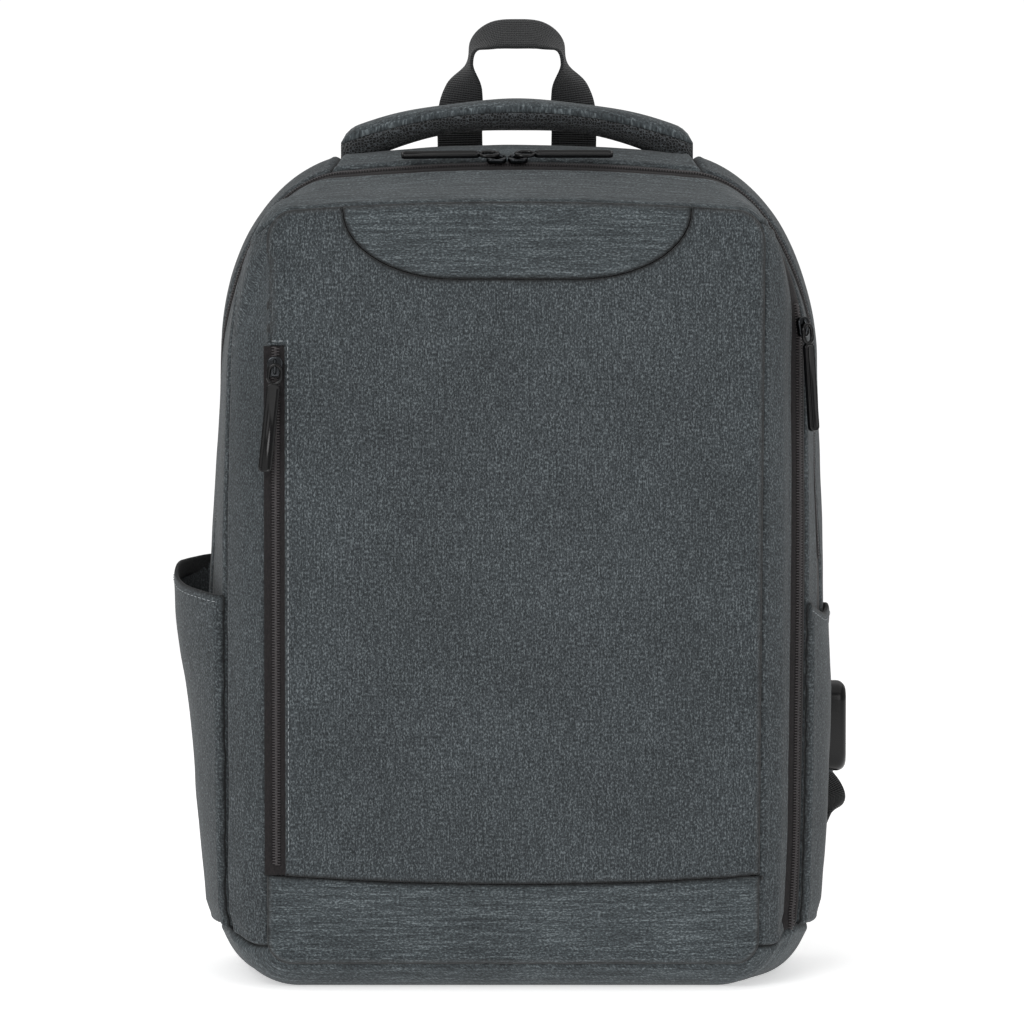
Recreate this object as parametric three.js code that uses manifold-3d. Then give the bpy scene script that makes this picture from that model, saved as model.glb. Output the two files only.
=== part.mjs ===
// A laptop backpack that stands on its base, in millimetres. +Z is up, +X is to the right of someone who
// faces its front, and +Y is towards the wearer. The origin is the middle of the flat base.
import * as THREE from "three";
import { mergeVertices } from "three/addons/utils/BufferGeometryUtils.js";
import Module from "manifold-3d";

const wasm = await Module();
wasm.setup();

// Overall sizes
const BODY_WIDTH = 310;
const BODY_HEIGHT = 414;
const BODY_DEPTH = 126;
const CLOTH = 2.2; // quilted polyester wall
const GAP = 0.3; // between sewn pieces
const TOP_ARCH = 4; // how far the top rises between its corners
const FOLD_DEPTH = 4; // deepest soft fold of the side walls

// Front face
const FACE_CROWN = 7; // how far the filled face stands out
const CROWN_FALL_ACROSS = 0.6; // share of the crown that is gone at the sides
const CROWN_FALL_UP = 0.35; // and at the top and foot
const RIM_POWER_ACROSS = 6; // how late the face turns in to its rim
const RIM_POWER_UP = 8;
const DENT_DEPTH = 3;
const YOKE_WIDTH = 168;
const YOKE_DROP = 33.5;
const YOKE_CORNER = 54;
const LOWER_BAND_HEIGHT = 46;
const LOWER_BAND_SAG = 6.5;

// Zips
const ZIP_TAPE_WIDTH = 11;
const COIL_WIDTH = 4.4;
const COIL_THICK = 1.6;
const LEFT_ZIP_TOP = 313;
const LEFT_ZIP_LENGTH = 252;
const SLIDER_LENGTH = 10;
const SLIDER_WIDTH = 8;
const SLIDER_THICK = 2.6;
const SLIDER_EDGE = 0.6;
const SLIDER_CURVE = 0.4; // room for the coil's curve under a flat slider
const PULLER_THICK = 2.4;
const PULLER_EDGE = 0.48;
const BAR_CORNER = 0.4; // corner of sliders, bars and the socket as a share of their width
const MAIN_PULLER_LENGTH = 48;
const MAIN_PULLER_WIDTH = 6.2;
const SIDE_PULLER_LENGTH = 52;
const SIDE_PULLER_WIDTH = 6.6;
const LEFT_PULLER_TILT = 6; // degrees that it swings away from its zip
const RING_LENGTH = 11;
const RING_WIDTH = 8;
const RING_WIRE = 1.9;

// Side pockets
const POCKET_BULGE_LEFT = 16;
const POCKET_BULGE_RIGHT = 4;
const BINDING_HEIGHT = 7;
const BINDING_THICK = 2.9;
const SWELL_POWER = 0.7; // how square the pockets' bulge is between their two seams

// Charging port on the right
const PORT_HEIGHT = 46;
const PORT_DEPTH = 24;
const PORT_THICK = 18;
const PORT_BASE = 97;
const SOCKET_WIDTH = 13;
const SOCKET_THICK = 5.5;
const SOCKET_DEEP = 9;
const SOCKET_WALL = 1;

// Carrying parts
const HANDLE_SPAN = 177;
const HANDLE_RISE = 23.2;
const HANDLE_WIDTH = 30;
const HANDLE_THICK = 15;
const HANDLE_END_WIDTH = 0.82; // share of the width that the ends keep
const HANDLE_END_THICK = 0.6; // share of the thickness that the ends keep
const HANDLE_END_POWER = 6; // how late the handle thins towards its ends
const HANDLE_FOOT = 0.8; // how far the underside reaches down at its ends, as a share of the thickness
const HANDLE_FOOT_POWER = 5;
const LOOP_SPAN = 58;
const LOOP_RISE = 64;
const WEBBING_WIDTH = 23;
const WEBBING_THICK = 1.7;
const STRAP_WIDTH = 64;
const STRAP_THICK = 11;
const BACK_THICK = 6;
const PAD_WIDTH = 104;
const PAD_HEIGHT = 292;
const PAD_THICK = 10;
const PAD_CORNER = 26;
const PAD_SPACING = 18;
const LOCK_WIDTH = 34;
const LOCK_HEIGHT = 30;
const LOCK_THICK = 4.5;
const LOCK_CORNER = 4;
const LOCK_EDGE = 0.9;
const SLOT_SPACING = 12;
const SLOT_ROOM = 1.2;
const ANCHOR_HEIGHT = 30;
const STRAP_TOP = 398;
const STRAP_DROP = 250;
const STRAP_BOW = 34;
const PAD_BASE = 38;
const WEBBING_BOW_LEFT = 1;
const WEBBING_BOW_RIGHT = 8;
const WEBBING_FACE_LEFT = 0.1; // how far the lower webbing turns its width sideways where it bows
const WEBBING_FACE_RIGHT = 0.8;
const WEBBING_RISE = 24;

// Rings round the body, from the front face to the back. deep is a share of the depth. left, right, across
// and their foot values are shares of half the width. top, the corners' down values, foot and up are shares
// of the height.
const RINGS = [
  {
    deep: 0, left: 0.781, leftFoot: 0.784, right: 0.774, rightFoot: 0.758, across: 0.09,
    top: 0.915, leftDown: 0.038, rightDown: 0.038, foot: 0.031, footAcross: 0.077, up: 0.029,
  },
  {
    deep: 0.06, left: 0.856, leftFoot: 0.862, right: 0.833, rightFoot: 0.828, across: 0.142,
    top: 0.9235, leftDown: 0.12, rightDown: 0.086, foot: 0.008, footAcross: 0.168, up: 0.062,
  },
  {
    deep: 0.14, left: 0.902, leftFoot: 0.92, right: 0.863, rightFoot: 0.858, across: 0.2,
    top: 0.932, leftDown: 0.2, rightDown: 0.15, foot: 0, footAcross: 0.23, up: 0.09,
  },
  {
    deep: 0.2, left: 0.92, leftFoot: 0.935, right: 0.908, rightFoot: 0.902, across: 0.29,
    top: 0.939, leftDown: 0.21, rightDown: 0.185, foot: 0, footAcross: 0.24, up: 0.098,
  },
  {
    deep: 0.4, left: 0.94, leftFoot: 0.96, right: 0.942, rightFoot: 0.945, across: 0.4,
    top: 0.9645, leftDown: 0.22, rightDown: 0.23, foot: 0, footAcross: 0.19, up: 0.092,
  },
  {
    deep: 0.64, left: 0.948, leftFoot: 0.972, right: 0.955, rightFoot: 0.952, across: 0.46,
    top: 0.992, leftDown: 0.22, rightDown: 0.235, foot: 0, footAcross: 0.16, up: 0.085,
  },
  {
    deep: 0.86, left: 0.94, leftFoot: 0.962, right: 0.948, rightFoot: 0.946, across: 0.45,
    top: 0.992, leftDown: 0.215, rightDown: 0.23, foot: 0, footAcross: 0.16, up: 0.085,
  },
  {
    deep: 1, left: 0.908, leftFoot: 0.93, right: 0.915, rightFoot: 0.93, across: 0.42,
    top: 0.981, leftDown: 0.2, rightDown: 0.215, foot: 0.017, footAcross: 0.15, up: 0.075,
  },
];
const WIDTH_COLUMNS = ["left", "leftFoot", "right", "rightFoot", "across", "footAcross"];
const HEIGHT_COLUMNS = ["top", "leftDown", "rightDown", "foot", "up"];

// A ring's eight stretches, in order: left side, left corner, top, right corner, right side, right foot,
// bottom and left foot. along counts stretches, so 1.5 is the middle of the left corner and -0.2 lies on the
// left foot.
const STRETCHES = 8;
const STEP_ALONG = 1 / 8;
const BASE_LEFT = -0.2;
const BASE_RIGHT = 5.2;
const POCKET_SEAM = 0.01; // from the base's seam to the pockets' foot
const TAB_LIFT = 0.075; // from the side's foot to the middle of the strap tabs
const SIDE_START = 0;
const SIDE_END = 5;
const CORNER_LEFT = 1.5; // where the top panel meets the side panels
const CORNER_RIGHT = 3.5;
const TOP_MIDDLE = 2.5;
const RIGHT_ZIP_TOP = 3.85;
const MAIN_COIL_LEFT = 0.7; // just above the pockets
const MAIN_COIL_RIGHT = 4.36;
const PORT_ALONG = 4.7;
const SLIDERS_ALONG = 2.47; // where the two main sliders meet

// Depth shares of the seams
const SEAM_DEEP = 0.14;
const SIDE_ZIP_DEEP = 0.2;
const MAIN_ZIP_DEEP = 0.4;
const HANDLE_DEEP = 0.7;
const PORT_DEEP = 0.83;
const TAB_NEAR = 0.84;
const TAB_FAR = 0.97;
const LOOP_DEEP = 0.93;

// Soft folds of the side walls: where they are, how far they reach, and their push outward as a share of
// FOLD_DEPTH.
const FOLDS = [
  { along: 0.8, deep: 0.5, reach: 0.16, deepReach: 0.16, push: -0.8 },
  { along: 0.6, deep: 0.62, reach: 0.36, deepReach: 0.4, push: 1.6 },
  { along: -0.1, deep: 0.1, reach: 0.12, deepReach: 0.07, push: -0.6 },
  { along: 1.25, deep: 0.3, reach: 0.2, deepReach: 0.12, push: -0.5 },
  { along: 4.2, deep: 0.45, reach: 0.16, deepReach: 0.14, push: -0.6 },
  { along: 4.4, deep: 0.62, reach: 0.42, deepReach: 0.36, push: 1.6 },
  { along: 3.6, deep: 0.3, reach: 0.2, deepReach: 0.12, push: -0.5 },
  { along: 5.05, deep: 0.12, reach: 0.1, deepReach: 0.07, push: -0.6 },
];

// Dents and bulges of the front face: place as shares of its half width and height from its middle, reach
// likewise, and push outward as a share of DENT_DEPTH.
const DENTS = [
  { across: 0.84, up: -0.22, reach: 0.16, upReach: 0.05, push: -1 },
  { across: 0.1, up: -0.45, reach: 0.5, upReach: 0.3, push: 0.8 },
  { across: -0.5, up: 0.45, reach: 0.3, upReach: 0.2, push: -0.5 },
  { across: 0.55, up: 0.5, reach: 0.25, upReach: 0.15, push: -0.4 },
  { across: 0.84, up: -0.93, reach: 0.18, upReach: 0.05, push: -0.9 },
  { across: -0.8, up: -0.85, reach: 0.12, upReach: 0.06, push: -0.6 },
];

// How far the pockets stand out at heights between their foot and their rim, as shares of their bulge.
const POCKET_ROWS = [
  { up: 0, left: 0, right: 0 },
  { up: 0.2, left: 0.16, right: 0.35 },
  { up: 0.45, left: 0.43, right: 0.95 },
  { up: 0.7, left: 0.6, right: 1 },
  { up: 0.88, left: 0.9, right: 0.55 },
  { up: 1, left: 1, right: 0.15 },
];

const halfWidth = BODY_WIDTH / 2;
const frontY = -BODY_DEPTH / 2;
const yAt = (deep) => frontY + deep * BODY_DEPTH;
const deepOf = (length) => length / BODY_DEPTH;
const mainNear = MAIN_ZIP_DEEP - deepOf(ZIP_TAPE_WIDTH / 2);
const mainFar = MAIN_ZIP_DEEP + deepOf(ZIP_TAPE_WIDTH / 2);
const quarter = Math.PI / 2;
const vector = (x, y, z) => new THREE.Vector3(x, y, z);

// A smooth curve through one column of a table, which stays between each two neighbouring rows.
function smoothColumn(rows, place, column, at) {
  const last = rows.length - 2;
  const k = Math.min(Math.max(rows.findIndex((row) => row[place] > at) - 1, 0), last);
  const row = at >= rows[last + 1][place] ? last : k;
  const slope = (i) => {
    if (i < 0 || i > last) return null;
    return (rows[i + 1][column] - rows[i][column]) / (rows[i + 1][place] - rows[i][place]);
  };
  const tangent = (i) => {
    const before = slope(i - 1);
    const after = slope(i);
    if (before === null) return after;
    if (after === null) return before;
    return before * after <= 0 ? 0 : (2 * before * after) / (before + after);
  };
  const span = rows[row + 1][place] - rows[row][place];
  const t = THREE.MathUtils.clamp((at - rows[row][place]) / span, 0, 1);
  const t2 = t * t;
  const t3 = t2 * t;
  return (
    (2 * t3 - 3 * t2 + 1) * rows[row][column] +
    (t3 - 2 * t2 + t) * span * tangent(row) +
    (3 * t2 - 2 * t3) * rows[row + 1][column] +
    (t3 - t2) * span * tangent(row + 1)
  );
}

// The ring at a share of the depth, with its lengths in millimetres.
function ringAt(deep) {
  const ring = {};
  for (const name of WIDTH_COLUMNS) ring[name] = smoothColumn(RINGS, "deep", name, deep) * halfWidth;
  for (const name of HEIGHT_COLUMNS) ring[name] = smoothColumn(RINGS, "deep", name, deep) * BODY_HEIGHT;
  return ring;
}

// A bell that is 1 in the middle and fades with distance.
const bell = (distance, reach) => Math.exp(-((distance / reach) ** 2));

// A point of a ring as x and z, before any fold.
function ringPoint(ring, along) {
  const place = ((along % STRETCHES) + STRETCHES) % STRETCHES;
  const stretch = Math.floor(place);
  const t = place - stretch;
  const sin = Math.sin(t * quarter);
  const cos = Math.cos(t * quarter);
  const footTop = ring.foot + ring.up;
  const leftTop = ring.top - ring.leftDown;
  const rightTop = ring.top - ring.rightDown;
  const lerp = THREE.MathUtils.lerp;
  if (stretch === 0) return [-lerp(ring.leftFoot, ring.left, t), lerp(footTop, leftTop, t)];
  if (stretch === 1) return [-ring.left + ring.across * (1 - cos), leftTop + ring.leftDown * sin];
  if (stretch === 2) {
    const x = lerp(-ring.left + ring.across, ring.right - ring.across, t);
    return [x, ring.top + TOP_ARCH * 4 * t * (1 - t)];
  }
  if (stretch === 3) return [ring.right - ring.across * (1 - sin), rightTop + ring.rightDown * cos];
  if (stretch === 4) return [lerp(ring.right, ring.rightFoot, t), lerp(rightTop, footTop, t)];
  if (stretch === 5) return [ring.rightFoot - ring.footAcross * (1 - cos), footTop - ring.up * sin];
  if (stretch === 6) {
    return [lerp(ring.rightFoot - ring.footAcross, -ring.leftFoot + ring.footAcross, t), ring.foot];
  }
  return [-ring.leftFoot + ring.footAcross * (1 - sin), footTop - ring.up * cos];
}

// How far the soft folds push a side wall outward.
function foldAt(along, deep) {
  const place = along > STRETCHES - 1 ? along - STRETCHES : along;
  return FOLDS.reduce((sum, fold) => {
    const near = bell(place - fold.along, fold.reach) * bell(deep - fold.deep, fold.deepReach);
    return sum + fold.push * FOLD_DEPTH * near;
  }, 0);
}

// The way out of the body at a point of a ring, in the ring's plane.
function ringNormal(ring, along) {
  const nudge = 0.01;
  const before = ringPoint(ring, along - nudge);
  const after = ringPoint(ring, along + nudge);
  return new THREE.Vector2(before[1] - after[1], after[0] - before[0]).normalize();
}

// A point of the body's wall, moved out of it by out (or into it where out is negative).
function wallPoint(along, deep, out = 0) {
  const ring = ringAt(deep);
  const [x, z] = ringPoint(ring, along);
  const normal = ringNormal(ring, along);
  const move = out + foldAt(along, deep);
  return new THREE.Vector3(x + normal.x * move, yAt(deep), z + normal.y * move);
}

// The wall's outward normal, its tangent along the ring and the way across both, as a turn.
function wallTurn(along, deep) {
  const nudge = 0.01;
  const tangent = wallPoint(along + nudge, deep).sub(wallPoint(along - nudge, deep)).normalize();
  const backward = wallPoint(along, deep + nudge).sub(wallPoint(along, deep - nudge));
  const normal = new THREE.Vector3().crossVectors(tangent, backward).normalize();
  const side = new THREE.Vector3().crossVectors(normal, tangent);
  return new THREE.Matrix4().makeBasis(tangent, side, normal);
}

// The place along a ring's upper half that lies x to the right of the middle.
function placeAt(x, deep) {
  const halvings = 30;
  let low = 1;
  let high = 4;
  for (let i = 0; i < halvings; i++) {
    const middle = (low + high) / 2;
    if (wallPoint(middle, deep).x < x) low = middle;
    else high = middle;
  }
  return low;
}

// A closed mesh whose faces point out, from points and quads.
function closedMesh(points, faces) {
  const geometry = new THREE.BufferGeometry();
  const flat = points.flatMap((p) => [p.x, p.y, p.z]);
  const volume = faces.reduce((sum, [a, b, c]) => {
    return sum + points[a].dot(new THREE.Vector3().crossVectors(points[b], points[c]));
  }, 0);
  const turned = volume < 0 ? faces.map(([a, b, c]) => [a, c, b]) : faces;
  geometry.setAttribute("position", new THREE.Float32BufferAttribute(flat, 3));
  geometry.setIndex(turned.flat());
  return geometry;
}

const quad = (a, b, c, d) => [
  [a, b, c],
  [a, c, d],
];

// Evenly spread places from 0 to 1.
const evenly = (count) => Array.from({ length: count + 1 }, (_, i) => i / count);

// A sheet of cloth between an outer and an inner face, both functions of u and v, through the places given
// for each.
function sheet(outer, inner, us, vs) {
  const columns = us.length - 1;
  const rows = vs.length - 1;
  const points = [];
  for (const face of [outer, inner]) {
    for (const v of vs) points.push(...us.map((u) => face(u, v)));
  }
  const at = (face, i, j) => (face * (rows + 1) + j) * (columns + 1) + i;
  const faces = [];
  for (let j = 0; j < rows; j++) {
    for (let i = 0; i < columns; i++) {
      faces.push(...quad(at(0, i, j), at(0, i + 1, j), at(0, i + 1, j + 1), at(0, i, j + 1)));
      faces.push(...quad(at(1, i, j), at(1, i, j + 1), at(1, i + 1, j + 1), at(1, i + 1, j)));
    }
    faces.push(...quad(at(0, 0, j), at(0, 0, j + 1), at(1, 0, j + 1), at(1, 0, j)));
    faces.push(...quad(at(0, columns, j + 1), at(0, columns, j), at(1, columns, j), at(1, columns, j + 1)));
  }
  for (let i = 0; i < columns; i++) {
    faces.push(...quad(at(0, i + 1, 0), at(0, i, 0), at(1, i, 0), at(1, i + 1, 0)));
    faces.push(...quad(at(0, i, rows), at(0, i + 1, rows), at(1, i + 1, rows), at(1, i, rows)));
  }
  return closedMesh(points, faces);
}

// A solid through closed sections with the same number of points, with flat ends.
function loft(sections) {
  const count = sections[0].length;
  const points = sections.flat();
  const faces = [];
  for (let s = 0; s < sections.length - 1; s++) {
    for (let i = 0; i < count; i++) {
      const next = (i + 1) % count;
      const low = s * count;
      const high = low + count;
      faces.push(...quad(low + i, low + next, high + next, high + i));
    }
  }
  for (const [start, turn] of [
    [0, -1],
    [(sections.length - 1) * count, 1],
  ]) {
    const middle = points.length;
    const centre = points.slice(start, start + count).reduce((sum, p) => sum.add(p), new THREE.Vector3());
    points.push(centre.divideScalar(count));
    for (let i = 0; i < count; i++) {
      const next = (i + 1) % count;
      faces.push(turn > 0 ? [middle, start + i, start + next] : [middle, start + next, start + i]);
    }
  }
  return closedMesh(points, faces);
}

function toSolid(geometry) {
  const bare = geometry.clone();
  bare.deleteAttribute("normal");
  bare.deleteAttribute("uv");
  const merged = mergeVertices(bare, 1e-4);
  const vertProperties = merged.attributes.position.array;
  const triVerts = new Uint32Array(merged.index.array);
  return new wasm.Manifold(new wasm.Mesh({ numProp: 3, vertProperties, triVerts }));
}

function toGeometry(solid) {
  const mesh = solid.getMesh();
  const geometry = new THREE.BufferGeometry();
  geometry.setAttribute("position", new THREE.BufferAttribute(mesh.vertProperties, 3));
  geometry.setIndex(new THREE.BufferAttribute(mesh.triVerts, 1));
  return geometry;
}

// The places that every panel's grid goes through, so that neighbours share their edges.
const ALONG_PLACES = Array.from({ length: (2 * STRETCHES) / STEP_ALONG }, (_, i) => i * STEP_ALONG - 1);
const DEEP_PLACES = [
  0, 0.05, 0.09, SEAM_DEEP, SIDE_ZIP_DEEP, 0.28, mainNear, mainFar, 0.56, HANDLE_DEEP, 0.86, 1,
];
function between(from, to, places) {
  const least = 0.01;
  return [from, ...places.filter((place) => place > from + least && place < to - least), to];
}

// A panel of the body's wall between two places along the ring and two depths, CLOTH thick unless told
// otherwise.
function wallPanel(from, to, near, far, lift = 0, thick = CLOTH) {
  const sink = GAP / 2;
  const nudge = 0.01;
  const at = (out) => (along, deep) => {
    const depth = THREE.MathUtils.clamp(deep, near + deepOf(sink), far - deepOf(sink));
    const speed = wallPoint(along + nudge, depth).distanceTo(wallPoint(along - nudge, depth)) / (2 * nudge);
    return wallPoint(THREE.MathUtils.clamp(along, from + sink / speed, to - sink / speed), depth, out);
  };
  return sheet(at(lift), at(lift - thick), between(from, to, ALONG_PLACES), between(near, far, DEEP_PLACES));
}

// A solid of the whole body, grown by GAP and finer than the panels, that cuts what sits on the body to fit.
function bodyBlank() {
  const step = STEP_ALONG / 2;
  const around = Array.from({ length: STRETCHES / step }, (_, i) => i * step);
  return toSolid(loft(DEEP_PLACES.map((deep) => around.map((along) => wallPoint(along, deep, GAP)))));
}
const body = bodyBlank();
const seated = (geometry) => toGeometry(toSolid(geometry).subtract(body));

// An outline of x and z points, as a prism between two depths.
function prism(outline, near, far) {
  const shape = new THREE.Shape(outline.map(([x, z]) => new THREE.Vector2(x, z)));
  const geometry = new THREE.ExtrudeGeometry(shape, { depth: far - near, bevelEnabled: false });
  geometry.rotateX(quarter);
  geometry.translate(0, far, 0);
  return geometry;
}

// The front face
const face = ringAt(0);
const faceMiddle = { x: (face.right - face.left) / 2, z: (face.top + face.foot) / 2 };
const faceHalf = { x: (face.right + face.left) / 2, z: (face.top - face.foot) / 2 };
const ringOutline = (deep) => {
  const count = STRETCHES / STEP_ALONG;
  return Array.from({ length: count }, (_, i) => ringPoint(ringAt(deep), i * STEP_ALONG));
};

// How far the face stands out in front of its rim.
function faceLift(x, z) {
  const u = (x - faceMiddle.x) / faceHalf.x;
  const v = (z - faceMiddle.z) / faceHalf.z;
  const fade = Math.max(0, 1 - u ** RIM_POWER_ACROSS) * Math.max(0, 1 - v ** RIM_POWER_UP);
  const crown = FACE_CROWN * (1 - CROWN_FALL_ACROSS * u * u) * (1 - CROWN_FALL_UP * v * v);
  const dents = DENTS.reduce((sum, dent) => {
    const near = bell(u - dent.across, dent.reach) * bell(v - dent.up, dent.upReach);
    return sum + dent.push * DENT_DEPTH * near;
  }, 0);
  return fade * (crown + dents);
}

// The skin of the face, out in front of the rim by lift at its back, and a given thickness.
function faceSkin(lift, thick) {
  const margin = 4;
  const columns = 10;
  const rows = 15;
  const at = (out) => (u, v) => {
    const x = faceMiddle.x + (2 * u - 1) * (faceHalf.x + margin);
    const z = faceMiddle.z + (2 * v - 1) * (faceHalf.z + margin);
    return new THREE.Vector3(x, frontY - out - faceLift(x, z), z);
  };
  return toSolid(sheet(at(lift), at(lift + thick), evenly(columns), evenly(rows)));
}

const cutFront = frontY - 3 * FACE_CROWN;
const cutBack = frontY + CLOTH;
const cutter = (outline) => toSolid(prism(outline, cutFront, cutBack));
const rectangle = (x0, x1, z0, z1) => [
  [x0, z0],
  [x1, z0],
  [x1, z1],
  [x0, z1],
];

// The yoke at the top of the face, whose sides round into a level lower edge.
function yokeOutline(grow) {
  const half = YOKE_WIDTH / 2 + grow;
  const low = face.top - YOKE_DROP - grow;
  const points = [[-half, face.top + YOKE_DROP]];
  const steps = 6;
  for (let i = 0; i <= steps; i++) {
    const turn = (i / steps) * quarter;
    points.push([-half + YOKE_CORNER * (1 - Math.cos(turn)), low + YOKE_DROP * (1 - Math.sin(turn))]);
  }
  return [...points, ...points.map(([x, z]) => [-x, z]).reverse()];
}

// The band along the face's foot, whose upper edge sags in the middle.
function lowerBandOutline(grow) {
  const low = face.foot - LOWER_BAND_HEIGHT;
  const points = [
    [-halfWidth, low],
    [halfWidth, low],
  ];
  const steps = 10;
  for (let i = 0; i <= steps; i++) {
    const u = 1 - (2 * i) / steps;
    const sag = LOWER_BAND_SAG * (1 - u * u);
    points.push([u * halfWidth, face.foot + LOWER_BAND_HEIGHT + grow - sag]);
  }
  return points;
}

const leftZip = {
  low: LEFT_ZIP_TOP - LEFT_ZIP_LENGTH,
  high: LEFT_ZIP_TOP,
  right: -face.left + ZIP_TAPE_WIDTH,
  middle: -face.left + ZIP_TAPE_WIDTH / 2,
};
const leftTapeOutline = (grow) => {
  return rectangle(-halfWidth, leftZip.right + grow, leftZip.low - grow, leftZip.high + grow);
};
const leftCoilOutline = rectangle(
  leftZip.middle - COIL_WIDTH / 2,
  leftZip.middle + COIL_WIDTH / 2,
  leftZip.low + GAP,
  leftZip.high - GAP,
);

function facePieces() {
  const whole = faceSkin(GAP, CLOTH).intersect(cutter(ringOutline(0)));
  const grownBand = cutter(lowerBandOutline(GAP));
  const tape = whole.intersect(cutter(leftTapeOutline(0))).subtract(grownBand);
  const panel = whole
    .subtract(cutter(yokeOutline(GAP)))
    .subtract(grownBand)
    .subtract(cutter(leftTapeOutline(GAP)));
  const coil = faceSkin(CLOTH + 2 * GAP, COIL_THICK).intersect(cutter(leftCoilOutline)).subtract(grownBand);
  return {
    front_panel: toGeometry(panel),
    yoke: toGeometry(whole.intersect(cutter(yokeOutline(0)))),
    lower_band: toGeometry(whole.intersect(cutter(lowerBandOutline(0)))),
    left_zip_tape: toGeometry(tape),
    left_zip_coil: toGeometry(coil),
  };
}

// A flat shape with round corners, extruded upward from z 0 with soft edges.
function roundedPlate(length, width, thick, corner, soft) {
  const x = length / 2 - soft;
  const y = width / 2 - soft;
  const r = Math.min(corner, x, y) - 0.01;
  const shape = new THREE.Shape();
  shape.moveTo(-x + r, -y);
  shape.lineTo(x - r, -y);
  shape.absarc(x - r, -y + r, r, -quarter, 0);
  shape.lineTo(x, y - r);
  shape.absarc(x - r, y - r, r, 0, quarter);
  shape.lineTo(-x + r, y);
  shape.absarc(-x + r, y - r, r, quarter, 2 * quarter);
  shape.lineTo(-x, -y + r);
  shape.absarc(-x + r, -y + r, r, 2 * quarter, 3 * quarter);
  const bevel = { bevelEnabled: soft > 0, bevelThickness: soft, bevelSize: soft, bevelSegments: 1 };
  const geometry = new THREE.ExtrudeGeometry(shape, { depth: thick - 2 * soft, curveSegments: 2, ...bevel });
  geometry.translate(0, 0, soft);
  return geometry;
}

// A zip slider: a low round-cornered body.
function slider() {
  return roundedPlate(SLIDER_LENGTH, SLIDER_WIDTH, SLIDER_THICK, SLIDER_WIDTH * BAR_CORNER, SLIDER_EDGE);
}

// A puller: a ring at the origin and a bar that leads away from it along -X.
function puller(length, width) {
  const ring = roundedPlate(RING_LENGTH, RING_WIDTH, PULLER_THICK, RING_WIDTH / 2, 0);
  const inside = RING_LENGTH - 2 * RING_WIRE;
  const hole = roundedPlate(inside, RING_WIDTH - 2 * RING_WIRE, 3 * PULLER_THICK, RING_WIDTH, 0);
  hole.translate(0, 0, -PULLER_THICK);
  const barLength = length - RING_LENGTH + RING_WIRE;
  const bar = roundedPlate(barLength, width, PULLER_THICK, width * BAR_CORNER, PULLER_EDGE);
  bar.translate(-length / 2, 0, 0);
  return toGeometry(toSolid(ring).add(toSolid(bar)).subtract(toSolid(hole)));
}

// A band of webbing or padding along a path. Each row of the path holds its place and the way its width
// points.
function ribbon(path, width, thick, steps, sides = 4) {
  const middle = new THREE.CatmullRomCurve3(path.map((row) => row.at));
  const across = new THREE.CatmullRomCurve3(path.map((row) => row.across));
  const power = sides === 4 ? 1 : 0.6;
  const start = sides === 4 ? quarter / 2 : 0;
  const scale = sides === 4 ? Math.SQRT1_2 : 0.5;
  const sections = [];
  for (let s = 0; s <= steps; s++) {
    const t = s / steps;
    const tangent = middle.getTangent(t);
    const side = across.getPoint(t);
    side.addScaledVector(tangent, -side.dot(tangent)).normalize();
    const normal = new THREE.Vector3().crossVectors(tangent, side);
    sections.push(
      Array.from({ length: sides }, (_, i) => {
        const turn = start + (2 * Math.PI * i) / sides;
        const wide = Math.sign(Math.cos(turn)) * Math.abs(Math.cos(turn)) ** power;
        const deep = Math.sign(Math.sin(turn)) * Math.abs(Math.sin(turn)) ** power;
        return middle
          .getPoint(t)
          .addScaledVector(side, wide * width * scale)
          .addScaledVector(normal, deep * thick * scale);
      }),
    );
  }
  return loft(sections);
}

// The grab handle: a padded arch whose cover and mesh underside meet along the middle of its section.
function handleHalf(upper) {
  const rise = wallPoint(TOP_MIDDLE, HANDLE_DEEP).z;
  const steps = 16;
  const around = 6;
  const sections = [];
  for (let s = 0; s <= steps; s++) {
    const u = (2 * s) / steps - 1;
    const half = (HANDLE_WIDTH / 2) * THREE.MathUtils.lerp(1, HANDLE_END_WIDTH, u * u);
    const thick = (HANDLE_THICK / 2) * THREE.MathUtils.lerp(1, HANDLE_END_THICK, u ** HANDLE_END_POWER);
    const lift = (HANDLE_RISE - HANDLE_THICK / 2) * (1 - u * u);
    const centre = vector((u * HANDLE_SPAN) / 2, yAt(HANDLE_DEEP), rise + lift);
    const sign = upper ? 1 : -1;
    const toBody = upper ? 0 : HANDLE_THICK * HANDLE_FOOT * Math.abs(u) ** HANDLE_FOOT_POWER;
    sections.push(
      Array.from({ length: around + 1 }, (_, i) => {
        const turn = (Math.PI * i) / around;
        const high = Math.sin(turn) ** SWELL_POWER;
        const z = sign * (GAP / 2 + (thick + toBody) * high);
        return centre.clone().add(vector(0, half * Math.cos(turn), z));
      }),
    );
  }
  return seated(loft(sections));
}

// The hanging loop's sides: how far out and up each row is, and how its width turns from sideways to
// backward.
const LOOP_LEAN = 43; // degrees that the top leans back
const LOOP_ROWS = [
  { out: 1, up: 0, faceOut: 1, faceBack: 0, faceUp: 0 },
  { out: 1, up: 0.36, faceOut: 1, faceBack: 0.1, faceUp: 0 },
  { out: 0.93, up: 0.58, faceOut: 0.8, faceBack: 0.6, faceUp: 0 },
  { out: 0.84, up: 0.76, faceOut: 0.1, faceBack: 1, faceUp: 0.1 },
  { out: 0.73, up: 0.9, faceOut: 0, faceBack: 1, faceUp: 0.5 },
  { out: 0.42, up: 0.985, faceOut: 0, faceBack: 1, faceUp: 0.85 },
];

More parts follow.
